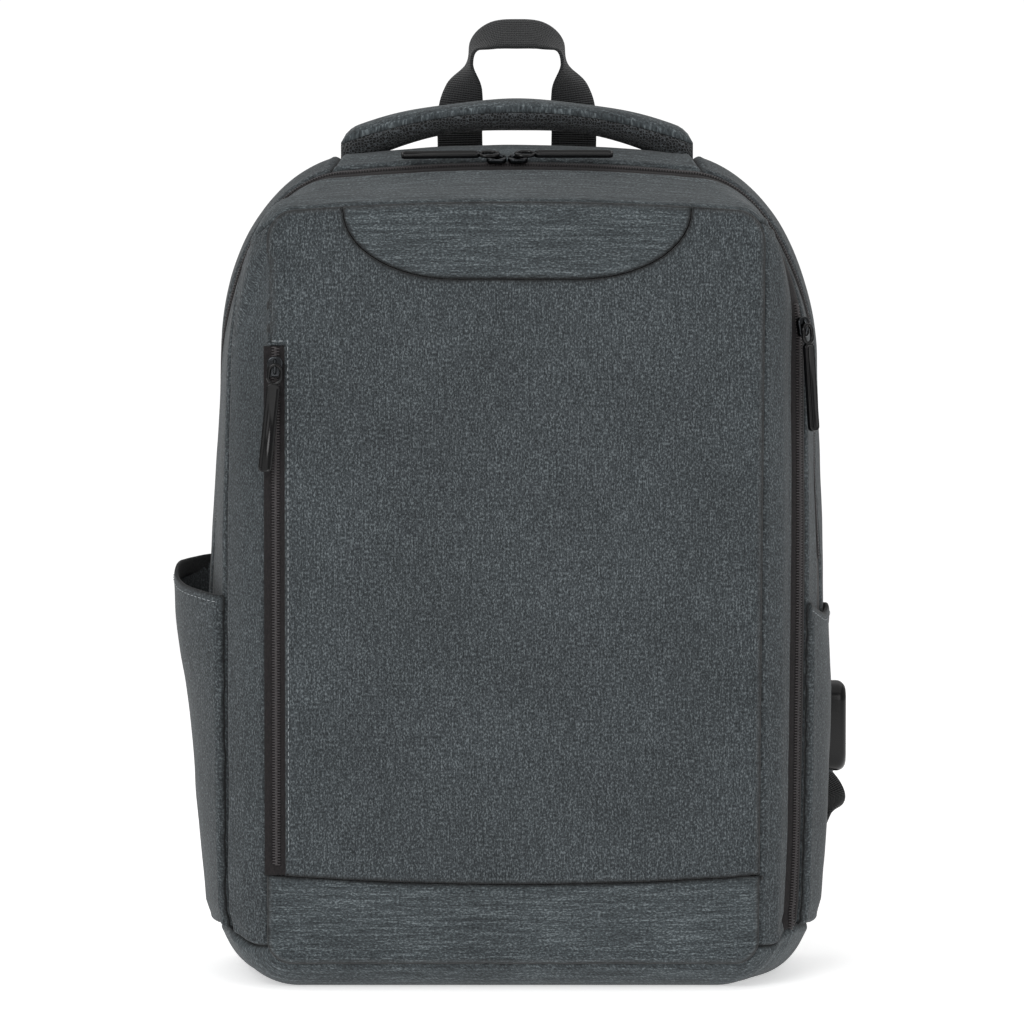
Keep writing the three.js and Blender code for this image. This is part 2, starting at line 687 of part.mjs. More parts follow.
// The hanging loop: two upright legs that turn into a top leaning back.
function hangLoop() {
  const half = LOOP_SPAN / 2;
  const foot = wallPoint(TOP_MIDDLE, LOOP_DEEP, GAP).z - TOP_ARCH;
  const y = yAt(LOOP_DEEP);
  const lean = THREE.MathUtils.degToRad(LOOP_LEAN);
  const side = (sign) => {
    return LOOP_ROWS.map((row) => ({
      at: vector(sign * half * row.out, y, foot + LOOP_RISE * row.up),
      across: vector(sign * row.faceOut, row.faceBack, row.faceUp),
    }));
  };
  const top = { at: vector(0, y, foot + LOOP_RISE), across: vector(0, Math.cos(lean), Math.sin(lean)) };
  const path = [...side(-1), top, ...side(1).reverse()];
  return seated(ribbon(path, WEBBING_WIDTH, WEBBING_THICK, 30));
}

// The side pockets, on the left (side -1) or the right (side 1)
const POCKETS = {
  left: {
    foot: BASE_LEFT + POCKET_SEAM, near: SEAM_DEEP, far: 0.8,
    rimNear: 0.58, rimFar: 0.605, bulge: POCKET_BULGE_LEFT,
  },
  right: {
    foot: BASE_RIGHT - POCKET_SEAM, near: SIDE_ZIP_DEEP, far: 0.68,
    rimNear: 4.46, rimFar: 4.465, bulge: POCKET_BULGE_RIGHT,
  },
};

function pocketPoint(side, up, v, extra) {
  const pocket = POCKETS[side];
  const deep = THREE.MathUtils.lerp(pocket.near + deepOf(GAP), pocket.far, v);
  const rim = THREE.MathUtils.lerp(pocket.rimNear, pocket.rimFar, v);
  const along = THREE.MathUtils.lerp(pocket.foot, rim, up);
  const swell = smoothColumn(POCKET_ROWS, "up", side, up) * Math.sin(Math.PI * v) ** SWELL_POWER;
  return wallPoint(along, deep, GAP + pocket.bulge * swell + extra);
}

function pocketPanel(side) {
  const share = 1 - bindingShare(side);
  const at = (extra) => (u, v) => pocketPoint(side, u * share, v, extra);
  return sheet(at(CLOTH), at(0), evenly(9), evenly(8));
}

function bindingShare(side) {
  const height = pocketPoint(side, 1, 0.5, 0).distanceTo(pocketPoint(side, 0, 0.5, 0));
  return BINDING_HEIGHT / height;
}

function pocketBinding(side) {
  const start = 1 - bindingShare(side) * (1 - GAP / BINDING_HEIGHT);
  const at = (extra) => (u, v) => pocketPoint(side, THREE.MathUtils.lerp(start, 1, u), v, extra);
  return sheet(at(BINDING_THICK), at(0), evenly(1), evenly(8));
}

// The charging port on the right gusset, behind the pocket: a rounded housing with a socket that opens
// downward.
function onRightWall(geometry, x, z) {
  const turn = new THREE.Matrix4().makeBasis(vector(0, 0, -1), vector(0, 1, 0), vector(1, 0, 0));
  geometry.applyMatrix4(turn);
  geometry.translate(x, yAt(PORT_DEEP), z);
  return geometry;
}

function portPieces() {
  const middle = PORT_BASE + PORT_HEIGHT / 2;
  const wall = wallPoint(PORT_ALONG, PORT_DEEP).x - CLOTH;
  const soft = PORT_THICK / 4;
  const plate = roundedPlate(PORT_HEIGHT, PORT_DEPTH, PORT_THICK + CLOTH, PORT_DEPTH * BAR_CORNER, soft);
  const housing = toSolid(onRightWall(plate, wall, middle)).subtract(body);
  const socketX = wall + CLOTH + PORT_THICK / 2 - SOCKET_THICK / 2;
  const bore = roundedPlate(2 * SOCKET_DEEP, SOCKET_WIDTH, SOCKET_THICK, SOCKET_THICK * BAR_CORNER, 0);
  const sleeveWidth = SOCKET_WIDTH - 2 * GAP;
  const sleeveThick = SOCKET_THICK - 2 * GAP;
  const innerWidth = sleeveWidth - 2 * SOCKET_WALL;
  const innerThick = sleeveThick - 2 * SOCKET_WALL;
  const inner = roundedPlate(3 * SOCKET_DEEP, innerWidth, innerThick, SOCKET_WALL, 0);
  const sleeve = roundedPlate(SOCKET_DEEP - GAP, sleeveWidth, sleeveThick, SOCKET_THICK * BAR_CORNER, 0);
  const sleeveSolid = toSolid(onRightWall(sleeve, socketX + GAP, PORT_BASE + SOCKET_DEEP / 2));
  const innerDown = SOCKET_DEEP / 2 + SOCKET_WALL + GAP;
  const innerSolid = toSolid(onRightWall(inner, socketX + GAP + SOCKET_WALL, PORT_BASE - innerDown));
  return {
    port_housing: toGeometry(housing.subtract(toSolid(onRightWall(bore, socketX, PORT_BASE)))),
    port_socket: toGeometry(sleeveSolid.subtract(innerSolid)),
  };
}

// Shoulder straps on the back: each row is a share of the strap's drop, of half the back's width and of its
// bow.
const STRAP_ROWS = [
  { drop: 0, out: 0.32, bow: 0 },
  { drop: 0.1, out: 0.33, bow: 0.06 },
  { drop: 0.3, out: 0.38, bow: 0.62 },
  { drop: 0.55, out: 0.47, bow: 1 },
  { drop: 0.8, out: 0.6, bow: 0.85 },
  { drop: 1, out: 0.7, bow: 0.65 },
];
const backY = yAt(1) + GAP + BACK_THICK;

function strapPath(sign) {
  return STRAP_ROWS.map((row) => {
    const place = vector(
      sign * row.out * halfWidth,
      backY + GAP + STRAP_THICK / 2 + row.bow * STRAP_BOW,
      STRAP_TOP - row.drop * STRAP_DROP,
    );
    return { at: place, across: vector(sign, 0, 0) };
  });
}

// The lower end of a strap: its place, the way down it and the way out of it.
function strapEnd(sign) {
  const path = new THREE.CatmullRomCurve3(strapPath(sign).map((row) => row.at));
  const down = path.getTangent(1);
  const side = vector(1, 0, 0).addScaledVector(down, -down.x).normalize();
  return { at: path.getPoint(1), down, side, out: new THREE.Vector3().crossVectors(side, down) };
}

// A lock under a strap's end: a plate with two slots for the webbing.
function ladderLock() {
  const slotWidth = WEBBING_WIDTH + 2 * SLOT_ROOM;
  const slotHeight = WEBBING_THICK + 2 * SLOT_ROOM;
  const plate = toSolid(roundedPlate(LOCK_HEIGHT, LOCK_WIDTH, LOCK_THICK, LOCK_CORNER, LOCK_EDGE));
  const slots = [-1, 1].map((sign) => {
    const slot = roundedPlate(slotHeight, slotWidth, 3 * LOCK_THICK, SLOT_ROOM, 0);
    slot.translate((sign * SLOT_SPACING) / 2, 0, -LOCK_THICK);
    return toSolid(slot);
  });
  return toGeometry(slots.reduce((whole, slot) => whole.subtract(slot), plate));
}

// Where a lock lies: its length down the strap's end and its plate in line with the strap.
function lockMatrix(sign) {
  const end = strapEnd(sign);
  const normal = vector(0, 0, 0).crossVectors(end.down, end.side);
  const turn = new THREE.Matrix4().makeBasis(end.down, end.side, normal);
  const place = end.at
    .clone()
    .addScaledVector(end.down, LOCK_HEIGHT / 2 + 2 * GAP)
    .addScaledVector(normal, -LOCK_THICK / 2);
  return turn.setPosition(place);
}

// The adjusting webbing: from the lock's lower slot, bowing outward, to the tab at the foot of the back seam.
function strapWebbing(sign) {
  const lock = lockMatrix(sign);
  const start = vector(LOCK_HEIGHT / 2 + GAP, 0, LOCK_THICK / 2).applyMatrix4(lock);
  const { down, side } = strapEnd(sign);
  const tab = tabCorner(sign);
  const bow = sign > 0 ? WEBBING_BOW_RIGHT : WEBBING_BOW_LEFT;
  const face = sign > 0 ? WEBBING_FACE_RIGHT : WEBBING_FACE_LEFT;
  const turn = wallTurn(tabAlong(sign), (TAB_NEAR + TAB_FAR) / 2);
  const outward = new THREE.Vector3().setFromMatrixColumn(turn, 2);
  const backward = vector(0, 1, 0).addScaledVector(outward, -outward.y).negate();
  const end = tab.clone().addScaledVector(outward, 2 * GAP + WEBBING_THICK / 2);
  const middle = start.clone().lerp(end, 0.6);
  middle.x = end.x + sign * bow;
  middle.z = end.z + WEBBING_RISE;
  const level = side.clone().multiplyScalar(sign);
  const behind = start.clone().lerp(middle, 0.5).add(vector(0, WEBBING_WIDTH / 2, 0));
  const above = end.clone().add(vector((sign * bow) / 2, 0, ANCHOR_HEIGHT / 2));
  const path = [
    { at: start, across: level },
    { at: start.clone().addScaledVector(down, WEBBING_WIDTH / 2), across: level },
    { at: behind, across: vector(sign, face - 1, 0) },
    { at: middle, across: vector(sign * face, face / 2 - 1, 0) },
    { at: above, across: vector((sign * face) / 2, -1, 0) },
    { at: end, across: backward },
  ];
  const whole = toSolid(ribbon(path, WEBBING_WIDTH, WEBBING_THICK, 16)).subtract(body);
  return toGeometry(whole.subtract(toSolid(strapTab(sign, GAP))));
}

// The cloth tab that holds the webbing's lower end, sewn on the side gusset.
const tabAlong = (sign) => (sign < 0 ? SIDE_START + TAB_LIFT : SIDE_END - TAB_LIFT);
function strapTab(sign, grow = 0) {
  const sideLength = wallPoint(SIDE_START + 1, TAB_NEAR).distanceTo(wallPoint(SIDE_START, TAB_NEAR));
  const half = (ANCHOR_HEIGHT / 2 + grow) / sideLength;
  const along = tabAlong(sign);
  const at = (out) => (u, v) => {
    const place = along + (2 * u - 1) * half;
    const deep = THREE.MathUtils.lerp(TAB_NEAR - deepOf(grow), TAB_FAR + deepOf(grow), v);
    return wallPoint(place, deep, GAP + out);
  };
  return sheet(at(CLOTH + grow), at(-grow), evenly(4), evenly(3));
}
const tabCorner = (sign) => wallPoint(tabAlong(sign), (TAB_NEAR + TAB_FAR) / 2, GAP + CLOTH);

// The padded back: a plain panel with two raised mesh pads.
function backPanel() {
  return prism(ringOutline(1), yAt(1) + GAP, backY);
}

function backPad(sign) {
  const plate = roundedPlate(PAD_HEIGHT, PAD_WIDTH, PAD_THICK, PAD_CORNER, PAD_THICK * 0.4);
  const turn = new THREE.Matrix4().makeBasis(vector(0, 0, 1), vector(1, 0, 0), vector(0, 1, 0));
  plate.applyMatrix4(turn);
  plate.translate((sign * (PAD_WIDTH + PAD_SPACING)) / 2, backY + GAP, PAD_BASE + PAD_HEIGHT / 2);
  return plate;
}

// Zip bands on the body's wall
const coilHalf = deepOf(COIL_WIDTH / 2);
const onTape = GAP + COIL_THICK;

function wallPieces() {
  const sideZip = (SEAM_DEEP + SIDE_ZIP_DEEP) / 2;
  const coilNear = MAIN_ZIP_DEEP - coilHalf;
  const coilFar = MAIN_ZIP_DEEP + coilHalf;
  const sideNear = sideZip - coilHalf;
  const sideFar = sideZip + coilHalf;
  const handleLeft = placeAt(-HANDLE_SPAN / 2, HANDLE_DEEP);
  const handleRight = placeAt(HANDLE_SPAN / 2, HANDLE_DEEP);
  return {
    front_gusset_left: wallPanel(BASE_LEFT, CORNER_LEFT, 0, SEAM_DEEP),
    front_gusset_right: wallPanel(CORNER_RIGHT, BASE_RIGHT, 0, SEAM_DEEP),
    top_panel: wallPanel(CORNER_LEFT, CORNER_RIGHT, 0, mainNear),
    side_panel_left: wallPanel(BASE_LEFT, CORNER_LEFT, SEAM_DEEP, mainNear),
    side_panel_right: wallPanel(CORNER_RIGHT, BASE_RIGHT, SIDE_ZIP_DEEP, mainNear),
    right_zip_tape: wallPanel(CORNER_RIGHT, BASE_RIGHT, SEAM_DEEP, SIDE_ZIP_DEEP),
    right_zip_coil: wallPanel(RIGHT_ZIP_TOP, BASE_RIGHT, sideNear, sideFar, onTape, COIL_THICK),
    main_zip_tape: wallPanel(BASE_LEFT, BASE_RIGHT, mainNear, mainFar),
    main_zip_coil: wallPanel(MAIN_COIL_LEFT, MAIN_COIL_RIGHT, coilNear, coilFar, onTape, COIL_THICK),
    gusset_left: wallPanel(BASE_LEFT, handleLeft, mainFar, 1),
    gusset_top: wallPanel(handleLeft, handleRight, mainFar, 1),
    gusset_right: wallPanel(handleRight, BASE_RIGHT, mainFar, 1),
    base_panel: wallPanel(BASE_RIGHT, STRETCHES + BASE_LEFT, 0, 1),
  };
}

// Colours and finishes
const CLOTH_LOOK = { color: 0x454a4c, roughness: 0.95, metalness: 0 };
const LIGHT_CLOTH_LOOK = { color: 0x4e5456, roughness: 0.95, metalness: 0 };
const TAPE_LOOK = { color: 0x2b2628, roughness: 0.9, metalness: 0 };
const COIL_LOOK = { color: 0x1d1b1c, roughness: 0.5, metalness: 0 };
const WEBBING_LOOK = { color: 0x181819, roughness: 0.85, metalness: 0 };
const MESH_LOOK = { color: 0x1e1f20, roughness: 0.95, metalness: 0 };
const GLOSS_LOOK = { color: 0x151617, roughness: 0.25, metalness: 0 };
const METAL_LOOK = { color: 0x2a2b2c, roughness: 0.35, metalness: 0.8 };

const group = new THREE.Group();

function add(name, geometry, look, matrix) {
  const mesh = new THREE.Mesh(geometry, new THREE.MeshStandardMaterial(look));
  mesh.name = name;
  if (matrix) matrix.decompose(mesh.position, mesh.quaternion, mesh.scale);
  group.add(mesh);
}

const LOOKS = {
  yoke: LIGHT_CLOTH_LOOK,
  lower_band: LIGHT_CLOTH_LOOK,
  top_panel: LIGHT_CLOTH_LOOK,
  base_panel: LIGHT_CLOTH_LOOK,
  left_zip_tape: TAPE_LOOK,
  right_zip_tape: TAPE_LOOK,
  main_zip_tape: TAPE_LOOK,
  left_zip_coil: COIL_LOOK,
  right_zip_coil: COIL_LOOK,
  main_zip_coil: COIL_LOOK,
  port_housing: GLOSS_LOOK,
  port_socket: METAL_LOOK,
};
for (const pieces of [facePieces(), wallPieces(), portPieces()]) {
  for (const [name, geometry] of Object.entries(pieces)) add(name, geometry, LOOKS[name] || CLOTH_LOOK);
}

// A slider and its puller on a coil of the wall: where they lie along the ring, and which way the puller
// points.
function addWallZipEnd(suffix, zip, along, deep, way, length, width) {
  const turn = wallTurn(along, deep);
  if (way < 0) turn.multiply(new THREE.Matrix4().makeRotationZ(Math.PI));
  const outward = new THREE.Vector3().setFromMatrixColumn(turn, 2);
  const seat = wallPoint(along, deep).addScaledVector(outward, onTape + GAP + SLIDER_CURVE);
  const lift = vector(0, 0, SLIDER_THICK + GAP).applyMatrix4(turn);
  add(`${zip}_slider${suffix}`, slider(), METAL_LOOK, turn.clone().setPosition(seat));
  const ringShift = vector(-RING_LENGTH / 3, 0, 0).applyMatrix4(turn);
  const pullerPlace = seat.clone().add(lift).add(ringShift);
  add(`${zip}_puller${suffix}`, puller(length, width), GLOSS_LOOK, turn.clone().setPosition(pullerPlace));
}
const topLength = wallPoint(2, MAIN_ZIP_DEEP).distanceTo(wallPoint(3, MAIN_ZIP_DEEP));
const halfSlider = (SLIDER_LENGTH / 2 + GAP) / topLength;
for (const [side, way] of [["_left", 1], ["_right", -1]]) {
  const along = SLIDERS_ALONG - way * halfSlider;
  addWallZipEnd(side, "main_zip", along, MAIN_ZIP_DEEP, way, MAIN_PULLER_LENGTH, MAIN_PULLER_WIDTH);
}
const rightZipDeep = (SEAM_DEEP + SIDE_ZIP_DEEP) / 2;
const rightSlider = RIGHT_ZIP_TOP + 0.1;
addWallZipEnd("", "right_zip", rightSlider, rightZipDeep, -1, SIDE_PULLER_LENGTH, SIDE_PULLER_WIDTH);

// The left zip's slider and puller hang on the face.
function addFaceZipEnd() {
  const z = leftZip.high - SLIDER_LENGTH;
  const lift = faceLift(leftZip.middle, z - SLIDER_LENGTH) + CLOTH + COIL_THICK + 3 * GAP + SLIDER_CURVE;
  const turn = new THREE.Matrix4().makeBasis(vector(0, 0, 1), vector(-1, 0, 0), vector(0, -1, 0));
  const seat = vector(leftZip.middle, frontY - lift, z);
  const place = seat.clone().add(vector(0, -SLIDER_THICK - GAP, -RING_LENGTH / 3));
  const tilt = new THREE.Matrix4().makeRotationZ(-THREE.MathUtils.degToRad(LEFT_PULLER_TILT));
  const hanging = turn.clone().multiply(tilt).setPosition(place);
  add("left_zip_slider", slider(), METAL_LOOK, turn.clone().setPosition(seat));
  add("left_zip_puller", puller(SIDE_PULLER_LENGTH, SIDE_PULLER_WIDTH), GLOSS_LOOK, hanging);
}
addFaceZipEnd();

for (const [side, sign] of Object.entries({ left: -1, right: 1 })) {
  add(`side_pocket_${side}`, pocketPanel(side), CLOTH_LOOK);
  add(`pocket_binding_${side}`, pocketBinding(side), CLOTH_LOOK);
  add(`shoulder_strap_${side}`, ribbon(strapPath(sign), STRAP_WIDTH, STRAP_THICK, 14, 8), CLOTH_LOOK);
  add(`ladder_lock_${side}`, ladderLock(), GLOSS_LOOK, lockMatrix(sign));
  add(`strap_webbing_${side}`, strapWebbing(sign), WEBBING_LOOK);
  add(`strap_tab_${side}`, strapTab(sign), CLOTH_LOOK);
  add(`back_pad_${side}`, backPad(sign), MESH_LOOK);
}
add("back_panel", backPanel(), CLOTH_LOOK);
add("handle_cover", handleHalf(true), CLOTH_LOOK);
add("handle_pad", handleHalf(false), MESH_LOOK);
add("hang_loop", hangLoop(), WEBBING_LOOK);

export default group;
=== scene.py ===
"""A laptop backpack that stands on its base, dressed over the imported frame.
Lengths are in millimetres until a mesh is made."""
import math

import bpy
import numpy as np
from numpy.linalg import norm
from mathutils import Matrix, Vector, noise
from mathutils.geometry import delaunay_2d_cdt


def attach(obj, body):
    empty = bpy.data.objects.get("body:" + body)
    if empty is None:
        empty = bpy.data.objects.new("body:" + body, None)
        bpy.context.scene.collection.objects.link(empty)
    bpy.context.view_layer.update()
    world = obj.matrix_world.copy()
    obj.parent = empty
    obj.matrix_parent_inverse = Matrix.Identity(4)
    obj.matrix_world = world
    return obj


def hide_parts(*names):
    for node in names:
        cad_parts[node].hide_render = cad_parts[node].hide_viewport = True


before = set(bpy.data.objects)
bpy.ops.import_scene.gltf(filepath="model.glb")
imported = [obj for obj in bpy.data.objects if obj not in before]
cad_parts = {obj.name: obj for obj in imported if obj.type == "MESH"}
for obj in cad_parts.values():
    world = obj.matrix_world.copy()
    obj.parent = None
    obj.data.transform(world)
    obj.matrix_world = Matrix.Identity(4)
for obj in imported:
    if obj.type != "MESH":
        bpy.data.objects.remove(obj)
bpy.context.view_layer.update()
MM = 0.001

# Overall sizes, as in the part's source
BODY_WIDTH = 310
BODY_HEIGHT = 414
BODY_DEPTH = 126
CLOTH = 2.2
GAP = 0.3
TOP_ARCH = 4
FOLD_DEPTH = 4
FACE_CROWN = 7
DENT_DEPTH = 3
YOKE_WIDTH = 168
YOKE_DROP = 33.5
YOKE_CORNER = 54
LOWER_BAND_HEIGHT = 46
LOWER_BAND_SAG = 6.5
ZIP_TAPE_WIDTH = 11
COIL_THICK = 1.6
LEFT_ZIP_TOP = 313
LEFT_ZIP_LENGTH = 252
SLIDER = (10, 8, 2.6)
PULLER_THICK = 2.4
RING_LENGTH = 11
RING_WIDTH = 8
RING_WIRE = 1.9
MAIN_PULLER = (48, 6.2)
SIDE_PULLER = (52, 6.6)
LEFT_PULLER_TILT = math.radians(6)
BINDING_HEIGHT = 7
PORT_HEIGHT = 46
PORT_DEPTH = 24
PORT_THICK = 18
PORT_BASE = 97
SOCKET = (13, 5.5, 9)
HANDLE_SPAN = 177
HANDLE_RISE = 23.2
HANDLE_WIDTH = 30
HANDLE_THICK = 15
LOOP_SPAN = 58
LOOP_RISE = 64
LOOP_LEAN = 43
WEBBING_WIDTH = 23
WEBBING_THICK = 1.7
STRAP_WIDTH = 64
STRAP_THICK = 11
BACK_THICK = 6
PAD = (104, 292, 10)
PAD_CORNER = 26
PAD_SPACING = 18
PAD_BASE = 38
LOCK = (34, 30, 4.5)
SLOT_SPACING = 12
SLOT_ROOM = 1.2
ANCHOR_HEIGHT = 30
STRAP_TOP = 398
STRAP_DROP = 250
STRAP_BOW = 34
WEBBING_BOW = {-1: 1, 1: 8}
WEBBING_FACE = {-1: 0.1, 1: 0.8}
WEBBING_RISE = 24

# Rings round the body: a share of the depth, shares of half the width, then shares of the height
RING_NAMES = ("left", "left_foot", "right", "right_foot", "across", "foot_across",
              "top", "left_down", "right_down", "foot", "up")
RINGS = np.array([
    (0.00, .781, .784, .774, .758, .09, .077, .915, .038, .038, .031, .029),
    (0.06, .856, .862, .833, .828, .142, .168, .9235, .12, .086, .008, .062),
    (0.14, .902, .92, .863, .858, .2, .23, .932, .2, .15, 0, .09),
    (0.20, .92, .935, .908, .902, .29, .24, .939, .21, .185, 0, .098),
    (0.40, .94, .96, .942, .945, .4, .19, .9645, .22, .23, 0, .092),
    (0.64, .948, .972, .955, .952, .46, .16, .992, .22, .235, 0, .085),
    (0.86, .94, .962, .948, .946, .45, .16, .992, .215, .23, 0, .085),
    (1.00, .908, .93, .915, .93, .42, .15, .981, .2, .215, .017, .075),
])
HALF_WIDTH = BODY_WIDTH / 2
RING_SCALE = np.array([HALF_WIDTH] * 6 + [BODY_HEIGHT] * 5)

# Places along a ring: its eight stretches start at the left foot
STRETCHES = 8
BASE_LEFT, BASE_RIGHT = -0.2, 5.2
CORNER_LEFT, CORNER_RIGHT = 1.5, 3.5
TOP_MIDDLE = 2.5
RIGHT_ZIP_TOP = 3.85
MAIN_COIL_LEFT, MAIN_COIL_RIGHT = 0.7, 4.36
PORT_ALONG = 4.7
SLIDERS_ALONG = 2.47
POCKET_SEAM = 0.01
TAB_LIFT = 0.075
SEAM_DEEP, SIDE_ZIP_DEEP, MAIN_ZIP_DEEP = 0.14, 0.2, 0.4
HANDLE_DEEP, PORT_DEEP, LOOP_DEEP = 0.7, 0.83, 0.93
TAB_NEAR, TAB_FAR = 0.84, 0.97

# Soft folds of the side walls: along, deep, reach, reach in depth, push as a share of FOLD_DEPTH
FOLDS = (
    (0.8, 0.5, 0.16, 0.16, -0.8), (0.6, 0.62, 0.36, 0.4, 1.6), (-0.1, 0.1, 0.12, 0.07, -0.6),
    (1.25, 0.3, 0.2, 0.12, -0.5), (4.2, 0.45, 0.16, 0.14, -0.6), (4.4, 0.62, 0.42, 0.36, 1.6),
    (3.6, 0.3, 0.2, 0.12, -0.5), (5.05, 0.12, 0.1, 0.07, -0.6),
)
# Dents of the face: across, up, reach, reach upward, push as a share of DENT_DEPTH
DENTS = (
    (0.84, -0.22, 0.16, 0.05, -1), (0.1, -0.45, 0.5, 0.3, 0.8), (-0.5, 0.45, 0.3, 0.2, -0.5),
    (0.55, 0.5, 0.25, 0.15, -0.4), (0.84, -0.93, 0.18, 0.05, -0.9), (-0.8, -0.85, 0.12, 0.06, -0.6),
)
# Pockets: foot, near, far, rim's place near and far, bulge
POCKETS = {
    "left": (BASE_LEFT + POCKET_SEAM, SEAM_DEEP, 0.8, 0.58, 0.605, 16),
    "right": (BASE_RIGHT - POCKET_SEAM, SIDE_ZIP_DEEP, 0.68, 4.46, 4.465, 4),
}
POCKET_UP = (0, 0.2, 0.45, 0.7, 0.88, 1)
POCKET_SWELL = {"left": (0, 0.16, 0.43, 0.6, 0.9, 1), "right": (0, 0.35, 0.95, 1, 0.55, 0.15)}
# Strap rows: drop, out, bow
STRAP_ROWS = ((0, .32, 0), (.1, .33, .06), (.3, .38, .62), (.55, .47, 1), (.8, .6, .85), (1, .7, .65))
# Loop rows: out, up, and how its width points outward, backward and up
LOOP_ROWS = (
    (1, 0, 1, 0, 0), (1, 0.36, 1, 0.1, 0), (0.93, 0.58, 0.8, 0.6, 0),
    (0.84, 0.76, 0.1, 1, 0.1), (0.73, 0.9, 0, 1, 0.5), (0.42, 0.985, 0, 1, 0.85),
)

FRONT_Y = -BODY_DEPTH / 2
BODY_MIDDLE = (0, 0, BODY_HEIGHT / 2)
QUARTER = math.pi / 2


def y_at(deep):
    return FRONT_Y + deep * BODY_DEPTH


def deep_of(length):
    return length / BODY_DEPTH


MAIN_NEAR = MAIN_ZIP_DEEP - deep_of(ZIP_TAPE_WIDTH / 2)
MAIN_FAR = MAIN_ZIP_DEEP + deep_of(ZIP_TAPE_WIDTH / 2)
BACK_Y = y_at(1) + GAP + BACK_THICK


def smooth_rows(places, values, at):
    """A smooth curve through rows of values that stays between each two neighbouring rows."""
    places = np.asarray(places, float)
    values = np.asarray(values, float).reshape(len(places), -1)
    at = np.asarray(at, float).reshape(-1)
    spans = np.diff(places)[:, None]
    slopes = np.diff(values, axis=0) / spans
    tangents = np.empty_like(values)
    tangents[0], tangents[-1] = slopes[0], slopes[-1]
    before, after = slopes[:-1], slopes[1:]
    total = before + after
    safe = np.where(np.abs(total) < 1e-12, 1, total)
    tangents[1:-1] = np.where(before * after <= 0, 0, 2 * before * after / safe)
    row = np.clip(np.searchsorted(places, at, side="right") - 1, 0, len(places) - 2)
    span = spans[row]
    t = np.clip((at - places[row]) / span[:, 0], 0, 1)[:, None]
    t2, t3 = t ** 2, t ** 3
    return ((2 * t3 - 3 * t2 + 1) * values[row] + (t3 - 2 * t2 + t) * span * tangents[row]
            + (3 * t2 - 2 * t3) * values[row + 1] + (t3 - t2) * span * tangents[row + 1])


def ring_at(deep):
    rows = smooth_rows(RINGS[:, 0], RINGS[:, 1:], deep) * RING_SCALE
    return {name: rows[:, k] for k, name in enumerate(RING_NAMES)}


def ring_point(ring, along):
    """x and z of places along rings, before any fold."""
    place = np.mod(along, STRETCHES)
    stretch = np.floor(place).astype(int)
    t = place - stretch
    sin, cos = np.sin(t * QUARTER), np.cos(t * QUARTER)
    r = ring
    foot_top = r["foot"] + r["up"]
    left_top, right_top = r["top"] - r["left_down"], r["top"] - r["right_down"]
    mix = lambda a, b: a + (b - a) * t
    top_from, top_to = -r["left"] + r["across"], r["right"] - r["across"]
    base_from, base_to = r["right_foot"] - r["foot_across"], -r["left_foot"] + r["foot_across"]
    xs = (
        -mix(r["left_foot"], r["left"]), -r["left"] + r["across"] * (1 - cos), mix(top_from, top_to),
        r["right"] - r["across"] * (1 - sin), mix(r["right"], r["right_foot"]),
        r["right_foot"] - r["foot_across"] * (1 - cos), mix(base_from, base_to),
        -r["left_foot"] + r["foot_across"] * (1 - sin),
    )
    zs = (
        mix(foot_top, left_top), left_top + r["left_down"] * sin, r["top"] + TOP_ARCH * 4 * t * (1 - t),
        right_top + r["right_down"] * cos, mix(right_top, foot_top), foot_top - r["up"] * sin,
        r["foot"] + 0 * t, foot_top - r["up"] * cos,
    )
    pick = lambda rows: np.choose(stretch, [np.broadcast_to(v, t.shape) for v in rows])
    return pick(xs), pick(zs)


def bell(distance, reach):
    return np.exp(-((distance / reach) ** 2))


def fold_at(along, deep):
    place = np.where(along > STRETCHES - 1, along - STRETCHES, along)
    return sum(
        push * FOLD_DEPTH * bell(place - a, reach) * bell(deep - d, deep_reach)
        for a, d, reach, deep_reach, push in FOLDS
    )


def wall_point(along, deep, out=0.0):
    """Points of the body's wall, moved out of it by out."""
    along, deep, out = np.broadcast_arrays(np.asarray(along, float), deep, out)
    shape = along.shape
    along, deep, out = along.ravel(), deep.ravel().astype(float), out.ravel()
    ring = ring_at(deep)
    x, z = ring_point(ring, along)
    xa, za = ring_point(ring, along - 0.01)
    xb, zb = ring_point(ring, along + 0.01)
    nx, nz = za - zb, xb - xa
    length = np.hypot(nx, nz)
    move = out + fold_at(along, deep)
    points = np.stack([x + nx / length * move, y_at(deep), z + nz / length * move], axis=-1)
    return points.reshape(*shape, 3)


def unit(v):
    v = np.asarray(v, float)
    return v / np.maximum(norm(v, axis=-1, keepdims=True), 1e-12)


def wall_turn(along, deep):
    """The wall's tangent along the ring, the way across it and its outward normal."""
    tangent = unit(wall_point(along + 0.01, deep) - wall_point(along - 0.01, deep))
    backward = wall_point(along, deep + 0.01) - wall_point(along, deep - 0.01)
    normal = unit(np.cross(tangent, backward))
    return tangent, np.cross(normal, tangent), normal


def place_at(x, deep):
    """The place along a ring's upper half that lies x to the right of the middle."""
    places = np.linspace(1, 4, 3001)
    return float(np.interp(x, wall_point(places, deep)[:, 0], places))


HANDLE_LEFT, HANDLE_RIGHT = place_at(-HANDLE_SPAN / 2, HANDLE_DEEP), place_at(HANDLE_SPAN / 2, HANDLE_DEEP)
FACE = {name: float(value[0]) for name, value in ring_at(0).items()}
FACE_X, FACE_Z = (FACE["right"] - FACE["left"]) / 2, (FACE["top"] + FACE["foot"]) / 2
FACE_HALF_X, FACE_HALF_Z = (FACE["right"] + FACE["left"]) / 2, (FACE["top"] - FACE["foot"]) / 2


